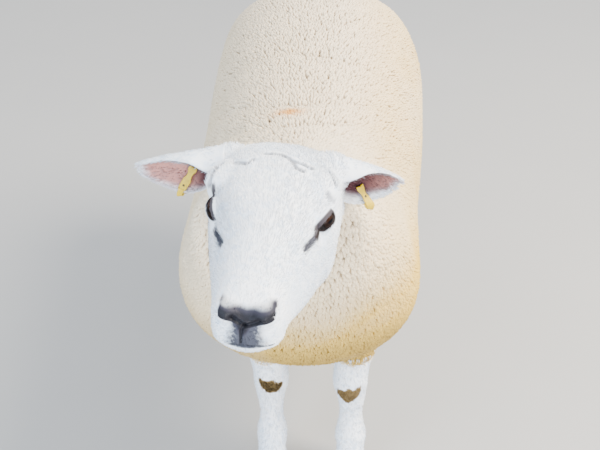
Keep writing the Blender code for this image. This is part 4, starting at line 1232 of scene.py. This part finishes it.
def ear_hair(side, count):
    """Strands over the ear's back and inside, and a fringe along its rims, most of it on the lower one."""
    place = draw.uniform(0.12, 0.985, count)
    across = draw.uniform(-0.98, 0.98, count)
    fringe = draw.random(count) < 0.30
    across = np.where(fringe, np.sign(across + 0.5) * (1 - 0.06 * draw.random(count)), across)
    inside = (draw.random(count) < 0.35) | fringe
    rows = np.stack([np.interp(place, ear_rows[:, 0], column) for column in ear_rows.T], 1)
    wall = ear_wall(rows, across[:, None])[:, 0]

    def at(offset, step=0.0, over=0.0):
        """The roots' places moved off the leaf's middle, along the ear and across it."""
        moved = rows + (step, 0, 0, 0, 0, 0)
        return ear_surface(side, moved, (across + over)[:, None], offset[:, None])[:, 0]

    sign = np.where(inside, 1.0, -1.0)
    base = at(sign * wall)
    normals = unit(at(sign * (wall + 0.001)) - base)
    along = unit(at(sign * wall, 0.01) - base)
    beyond = unit(at(sign * wall, 0, 0.01) - base) * np.sign(across)[:, None]
    out = fade(0.90, 1.0, np.abs(across))[:, None]
    normals = unit(normals * (1 - out) + beyond * out)
    lies = along_surface(along * (1 - 0.3 * out) + beyond * 0.2, normals)
    unwrap = np.stack([0.02 + 0.20 * rows[:, 0], 0.02 + 0.07 * (across + 1) + 0.16 * (side > 0)], 1)
    tints = np.array(ear_tint(side, place, across)) * inside
    length = np.where(fringe, EAR_LENGTHS[0], np.where(inside, *EAR_LENGTHS[1:]))
    length = length * fade(1.1, 0.85, rows[:, 0] * 0.8)
    return base, normals, lies, length, unwrap, tints


for side, sign in SIDES.items():
    base, normals, lies, length, unwrap, tints = ear_hair(sign, EAR_STRANDS)
    add_hair("hair_ear_" + side, base, normals, lies, length, EAR_WIDTH, unwrap, "ear_hair", tints, lift=0.45)
bpy.data.objects.remove(outer)

# ---- The eyes -------------------------------------------------------------------------------------------
# Each eyeball is a wet ball with the cornea bulging from it. The iris is amber brown with a dark rim; it is
# painted near black as shade of the lids, and its lower part lighter amber as light through the cornea. The
# pupil is a level bar, as in all sheep.

CORNEA_REACH, CORNEA_RISE = 0.0098, 0.0009
BALL_INSET, LID_PRESS = 0.0004, 0.0016  # how much smaller the ball is in the open, and also under the lids
EYE_AIM = (0.76, 0.58, 0.30)  # sideways, forward and up, out of the pupil
PUPIL_SHAPE = (0.235, 0.52)  # 1 over its half length and half height in millimetres
# the iris's brown, painted near black as shade of the lids
IRIS_LID_SHADED_BROWN, IRIS_STREAK = (0.0050, 0.0026, 0.0022), (0.012, 0.0055, 0.0038)
# amber of painted light through the cornea, on the iris's lower part
IRIS_CAUSTIC_AMBER, IRIS_RIM = (0.030, 0.0125, 0.0065), (0.004, 0.003, 0.003)
PUPIL_BLACK, BALL_DARK = (0.002, 0.002, 0.003), (0.012, 0.010, 0.010)


def eyeball(side):
    """A ball about its aim: away from it the radius grows by the cornea's rise times (1 - s^2)^2, where s is
    the arc over the cornea's reach. Under the lids and behind them the ball is a little smaller."""
    turn = np.linspace(0.01, math.pi - 0.02, 60)[:, None]
    cos, sin = circle(64)
    arc = np.clip(turn * EYE_RADIUS / CORNEA_REACH, 0, 1)
    middle = eye_middle(side)
    aim = unit(mirrored(EYE_AIM, side)) @ head_axes
    level = unit(head_axes[1] - aim * (head_axes[1] @ aim))
    upright = np.cross(aim, level) * side
    flat = cos[:, None] * level + sin[:, None] * upright
    lead = np.cos(turn)[..., None] * aim + np.sin(turn)[..., None] * flat
    covered = fade(0.45, 0.15, lead @ (unit(mirrored(LIDS[side][0], side)) @ head_axes))
    radius = EYE_RADIUS - BALL_INSET + CORNEA_RISE * (1 - arc**2) ** 2 - LID_PRESS * covered
    points, triangles = closed_tube(middle + radius[..., None] * lead)
    away = points - middle
    return points, triangles, {"eye_level": away @ level, "eye_up": away @ upright, "eye_out": away @ aim}


eye = Finish("eye", 0.14, IOR=1.16)
level, upright = eye.value("eye_level") * 1000, eye.value("eye_up") * 1000
ring = (level * level + upright * upright) ** 0.5
pupil = ((level * PUPIL_SHAPE[0]) ** 2 + (upright * PUPIL_SHAPE[1]) ** 2) ** 0.5
streak = eye.noise(900.0, 3.0, 0.7)
# painted light: the iris's lower part lighter amber, as light through the cornea; above it the iris stays in
# painted lid shade
painted_caustic = upright.step(-0.5, -4.5) * streak
iris = eye.layered(IRIS_LID_SHADED_BROWN, (streak, IRIS_STREAK), (painted_caustic, IRIS_CAUSTIC_AMBER), (ring.step(7.4, 8.6), IRIS_RIM))
iris = eye.mix(pupil.step(0.86, 1.02), PUPIL_BLACK, iris)
eye.set(Base_Color=eye.mix(ring.step(8.8, 9.8), iris, BALL_DARK))
for side, sign in SIDES.items():
    points, triangles, values = eyeball(sign)
    piece = add_piece("eyeball_" + side, points, triangles)
    values["eye_level"][values["eye_out"] < 0] = 1
    give_values(piece, {key: values[key] for key in ("eye_level", "eye_up")})
    piece.data.materials.append(eye.material)
    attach(piece, "root")
    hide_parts("eye_" + side)

# ---- The claws and dewclaws -----------------------------------------------------------------------------
# Each foot is two claws of grey-brown horn, flat towards each other, with growth rings level with the hair's
# edge, and two small dewclaws behind the fetlock.

CORONET_TOE, CORONET_HEEL = 0.046, 0.027  # heights of the hair's edge
FOOT_TOE, FOOT_HEEL = 0.042, -0.031  # ahead of the foot's middle
CLAW_GAP = 0.0016  # from the foot's middle to each claw
HORN_DARK, HORN_PALE = (0.085, 0.066, 0.050), (0.20, 0.165, 0.125)
CLAW_LEVELS = [  # share of the height, toe, heel, width
    (0.00, 0.0385, -0.0285, 0.0246),
    (0.02, 0.0404, -0.0298, 0.0260),
    (0.08, 0.0418, -0.0309, 0.0269),
    (0.22, 0.0396, -0.0308, 0.0269),
    (0.40, 0.0370, -0.0305, 0.0268),
    (0.60, 0.0339, -0.0298, 0.0264),
    (0.80, 0.0306, -0.0290, 0.0260),
    (0.94, 0.0281, -0.0281, 0.0257),
    (1.00, 0.0262, -0.0268, 0.0250),
]

horn = Finish("hoof_horn", 0.55, Specular_IOR_Level=0.4)
growth = horn.value("height") * 420 + horn.noise(40.0) * 2.4
rings = (horn.node("Math", {"operation": "SINE"}, {0: growth * 2.2}) + 1) * 0.5
horn_base = horn.mix(horn.noise(55.0, 4.0, 0.6), HORN_DARK, HORN_PALE)
horn.set(Base_Color=horn.shaded(horn_base, 0.85 + 0.25 * rings), Roughness=0.48 + 0.25 * horn.noise(120.0))
horn.bump(rings * 0.6 + 0.5 * horn.noise(500.0, 3.0), 0.0006, 0.8)


def claw_shape(foot_x, foot_y, outward_sign):
    """A D in plan at each level: across by |cos|^(2/2.3) on the outer wall and |cos|^(1/3) on the inner one,
    narrowed to the toe, and rising to the coronet, which falls from toe to heel."""
    share, toe, heel, width = (column[:, None] for column in catmull_rom(CLAW_LEVELS, 2).T)
    cos, sin = circle(40)
    across = 0.5 + 0.5 * signed_power(cos, 2 / np.where(cos > 0, 2.3, 6.0))
    across = across * (1 - 0.34 * np.clip(sin, 0, 1) ** 3)
    forward = (toe + heel) / 2 + (toe - heel) / 2 * signed_power(sin, 2 / 2.2)
    coronet = CORONET_HEEL + (CORONET_TOE - CORONET_HEEL) * (forward - FOOT_HEEL) / (FOOT_TOE - FOOT_HEEL)
    sideways = foot_x + outward_sign * (CLAW_GAP + across * width)
    rings = np.stack([sideways, foot_y - forward, share * coronet], -1)
    points, triangles = closed_tube(rings)
    return points + (0, 0, -points[:, 2].min()), triangles


for pair, stations in PAIRS.items():
    for side, sign in SIDES.items():
        low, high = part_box(f"claw_{pair}_{side}_inner")
        outer_low, outer_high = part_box(f"claw_{pair}_{side}_outer")
        foot_x = (min(low[0], outer_low[0]) + max(high[0], outer_high[0])) / 2
        foot_y = low[1] + FOOT_TOE
        for word, way in (("inner", -sign), ("outer", sign)):
            points, triangles = claw_shape(foot_x, foot_y, way)
            piece = add_piece(f"hoof_{pair}_{side}_{word}", points, triangles)
            give_values(piece, {"height": points[:, 2] + 0.26 * (points[:, 1] - foot_y)})
            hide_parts(f"claw_{pair}_{side}_{word}")
            low, high = (np.array(corner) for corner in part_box(f"dewclaw_{pair}_{side}_{word}"))
            ball = unit_ball(86, 14, 20)
            ball[..., 1] *= 1 - 0.25 * ball[..., 2]
            points, triangles = closed_tube((low + high) / 2 + ball * (high - low) / 2)
            spur = add_piece(f"spur_{pair}_{side}_{word}", points, triangles)
            give_values(spur, {"height": points[:, 2]})
            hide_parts(f"dewclaw_{pair}_{side}_{word}")
            for made, slot in ((piece, "hoof_horn"), (spur, "dewclaw_horn")):
                made.data.materials.append(horn.material)
                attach(made, "root")

# ---- The ear tags ---------------------------------------------------------------------------------------
# A tag is one strip of yellow plastic folded round the ear's lower edge and pinned through the ear. Its dark
# pin shows as a small dot in front and ends in a button behind. It is blank.

TAG_WIDTH, TAG_THICKNESS = 0.0104, 0.0018
# Place along the ear at the pin, lean of the strip towards the tip, where the front flap starts across the
# ear, drop of the fold below the ear's edge, and how far the back flap stands towards the tip.
TAG_SETTINGS = {1: (0.660, 0.19, 0.42, 0.0100, 0.006), -1: (0.575, 0.20, 0.22, 0.0055, 0.003)}
TAG_END = 0.45  # across the ear, of the back flap
TAG_CLEARANCE = 0.0050  # from the middle of the ear's wall to the middle of each flap
TAG_BOW = 0.35  # share of the ear's own curve that the stiff front flap takes
TAG_WAIST, TAG_NOTCH = 0.64, 0.0026  # share of the width left at the waist, and depth of the fork
PIN_ACROSS, PIN_TRAVEL = 0.88, 0.0235  # the pin's place across the ear, and along the strip
PIN_RADIUS = 0.0020
# Radius and height along the axis, of the button behind and of the pin's head in front.
BUTTON = [
    (0.0020, 0.0), (0.0044, 0.0002), (0.0047, 0.0008), (0.0044, 0.0014), (0.0032, 0.0020), (0.0012, 0.0023),
]
PIN_HEAD = [(0.0010, 0.0), (0.0015, 0.0001), (0.0013, 0.0005), (0.0006, 0.0007)]
TAG_YELLOW, TAG_WORN = (0.66, 0.45, 0.006), (0.50, 0.32, 0.008)
STUD_DARK, STUD_WORN = (0.025, 0.022, 0.020), (0.075, 0.062, 0.048)

plastic = Finish("tag_plastic", 0.42, Specular_IOR_Level=0.5)
worn = plastic.noise(160.0, 4.0, 0.65)
plastic.set(Base_Color=plastic.mix(worn.step(0.45, 0.75), TAG_YELLOW, TAG_WORN))
plastic.set(Roughness=0.36 + 0.25 * worn)
plastic.bump(worn, 0.0003, 0.5)
stud = Finish("stud_plastic", 0.5)
stud.set(Base_Color=stud.mix(stud.noise(300.0), STUD_DARK, STUD_WORN))


def tag_point(side, across, offset):
    """A point beside the ear's wall where the tag crosses it, nearer the tip towards the lower edge."""
    place = TAG_SETTINGS[side][0] + TAG_SETTINGS[side][1] * (across - PIN_ACROSS)
    row = [np.interp(place, ear_rows[:, 0], column) for column in ear_rows.T]
    return ear_surface(side, [row], np.array([across]), offset)[0, 0]


def front_flap(side, across):
    """The front flap bows between the ear's curve and the straight line from its end to the ear's edge."""
    start = TAG_SETTINGS[side][2]
    share = (across - start) / (1 - start)
    first, last = tag_point(side, start, TAG_CLEARANCE), tag_point(side, 1, TAG_CLEARANCE)
    return tag_point(side, across, TAG_CLEARANCE) * TAG_BOW + (first + (last - first) * share) * (1 - TAG_BOW)


def tag_path(side):
    """Places down the front flap, round the fold and up the back flap."""
    start, drop, skew = TAG_SETTINGS[side][2:]
    aside = ear_axes(side)[1] * skew
    front = [front_flap(side, t) for t in np.linspace(start, 1, 6)]
    rim = tag_point(side, 1, 0)
    beyond, inward = unit(front[-1] - front[-3]), unit(front[-1] - rim)
    turn = np.radians((90, 50, 0, -50, -90))[:, None]
    fold = rim + beyond * (drop - TAG_CLEARANCE * (1 - np.cos(turn))) + inward * TAG_CLEARANCE * np.sin(turn)
    fold = fold + aside * (1 - np.sin(turn)) / 2
    back = [tag_point(side, t, -TAG_CLEARANCE) + aside for t in np.linspace(1, TAG_END, 4)]
    return catmull_rom(np.vstack([front, fold, back]), 4)


def strip(path, along):
    """A rounded bar carried along the path, its width in the ear's length. It is broadest at its forked front
    end and at the pin, a third narrower between them, and rounded at its back end."""
    heading = unit(np.gradient(path, axis=0))
    wide = unit(along - heading * (heading @ along)[:, None])
    thick = np.cross(heading, wide)
    travelled = np.append(0, np.cumsum(np.linalg.norm(np.diff(path, axis=0), axis=1)))
    from_back = np.clip((travelled[-1] - travelled) / (TAG_WIDTH / 2), 0.04, 1)
    ends = np.maximum(fade(0.011, 0.004, travelled), fade(0.011, 0.005, np.abs(travelled - PIN_TRAVEL)))
    narrow = (TAG_WAIST + (1 - TAG_WAIST) * ends) * np.sqrt(1 - (1 - from_back) ** 2)
    cos, sin = circle(24)
    across = signed_power(cos, 0.35)
    rise = signed_power(sin, 0.6) * TAG_THICKNESS / 2
    notch = TAG_NOTCH * np.clip(1 - np.abs(across) / 0.6, 0, 1) * fade(0.006, 0.0, travelled)[:, None]
    sideways = (narrow[:, None] * across * TAG_WIDTH / 2)[..., None] * wide[:, None]
    sideways = sideways + notch[..., None] * heading[:, None]
    return closed_tube(path[:, None] + sideways + rise[:, None] * thick[:, None])


def turned_knob(start, end, profile):
    """A round knob from start towards end: its profile's pairs are radius and height along the axis."""
    axis = unit(end - start)
    over = unit(np.cross(axis, (0.3, 0.5, 0.8)))
    cos, sin = circle(28)
    ring = cos[:, None] * over + sin[:, None] * np.cross(axis, over)
    profile = np.asarray(profile)
    return closed_tube(start + profile[:, :1, None] * ring + profile[:, 1:, None] * axis)


for side, sign in SIDES.items():
    piece = add_piece("tag_strip_" + side, *strip(tag_path(sign), ear_axes(sign)[1]))
    aside = ear_axes(sign)[1] * TAG_SETTINGS[sign][4]
    front, back = front_flap(sign, PIN_ACROSS), tag_point(sign, PIN_ACROSS, -TAG_CLEARANCE) + aside
    out = unit(front - back)
    pin = turned_knob(back, front, [(PIN_RADIUS, 0.0), (PIN_RADIUS, np.linalg.norm(front - back))])
    button = turned_knob(back - out * TAG_THICKNESS / 2, back - out, BUTTON)
    head = turned_knob(front + out * TAG_THICKNESS / 2, front + out, PIN_HEAD)
    piece.data.materials.append(plastic.material)
    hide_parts("tag_" + side)
    knobs = add_piece("tag_stud_" + side, *joined([pin, button, head]))
    knobs.data.materials.append(stud.material)
    for made in (piece, knobs):
        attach(made, "root")

# ---- The stage ------------------------------------------------------------------------------------------
# A wide flat pale floor, a warm key light high on the sheep's left, a cool fill on its right, a weak light in
# front, an even sky, and a camera above and before the sheep.

FLOOR_HALF = 40.0  # metres
FLOOR_GREY, FLOOR_PALE = (0.36, 0.36, 0.355), (0.385, 0.38, 0.375)
SKY_COLOUR, SKY_POWER = (0.90, 0.94, 1.0, 1), 1.9
floor_corners = np.array([(-1, -1, 0), (1, -1, 0), (1, 1, 0), (-1, 1, 0)]) * FLOOR_HALF
floor = add_piece("floor", floor_corners, np.array([(0, 1, 2), (0, 2, 3)]))
paint = Finish("floor_paint", 0.9)
paint.set(Base_Color=paint.mix(paint.noise(3.0), FLOOR_GREY, FLOOR_PALE))
floor.data.materials.append(paint.material)
floor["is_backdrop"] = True


def add_light(name, place, aim, size, power, colour):
    """A round soft light that shines from its place towards its aim."""
    data = bpy.data.lights.new(name, "AREA")
    data.shape, data.size, data.energy, data.color = "DISK", size, power, colour
    made = linked(name, data)
    made.location = place
    back = unit(np.array(place, float) - aim)
    over = unit(np.cross((0, 0, 1), back))
    made.rotation_euler = Matrix(np.stack([over, np.cross(back, over), back], 1)).to_euler()


add_light("key", (2.4, -0.3, 3.0), (0, 0, 0.5), 2.0, 440, (1.0, 0.91, 0.77))
add_light("fill", (-2.2, -3.0, 1.9), (0, -0.2, 0.4), 2.4, 135, (0.62, 0.81, 1.0))
add_light("front", (0.9, -3.6, 0.8), (0, -0.2, 0.3), 1.8, 165, (0.97, 0.98, 1.0))
world = bpy.data.worlds.new("soft_sky")
world.use_nodes = True
sky = world.node_tree.nodes["Background"].inputs
sky["Color"].default_value, sky["Strength"].default_value = SKY_COLOUR, SKY_POWER
bpy.context.scene.world = world

CAMERA_PLACE = (0.0723, -1.4038, 1.4456)
CAMERA_YAW, CAMERA_PITCH, CAMERA_ROLL = 3.41, 32.68, -0.88  # to the sheep's right, down, about its axis
CAMERA_LENS = 61.5  # millimetres, on a sensor 36 mm wide
yaw, pitch, roll = (math.radians(angle) for angle in (CAMERA_YAW, CAMERA_PITCH, CAMERA_ROLL))
heading = np.array((-math.sin(yaw) * math.cos(pitch), math.cos(yaw) * math.cos(pitch), -math.sin(pitch)))
level = np.array((math.cos(yaw), math.sin(yaw), 0.0))
upward = np.cross(level, heading)
rightward = math.cos(roll) * level + math.sin(roll) * upward
upward = math.cos(roll) * upward - math.sin(roll) * level
camera = linked("camera", bpy.data.cameras.new("camera"))
camera.data.sensor_width = 36
camera.data.lens = CAMERA_LENS
turn = Matrix(np.stack([rightward, upward, -heading], 1)).to_4x4()
turn.translation = np.array(CAMERA_PLACE) + frame_shift
camera.matrix_world = turn
bpy.context.scene.camera = camera

low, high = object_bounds()
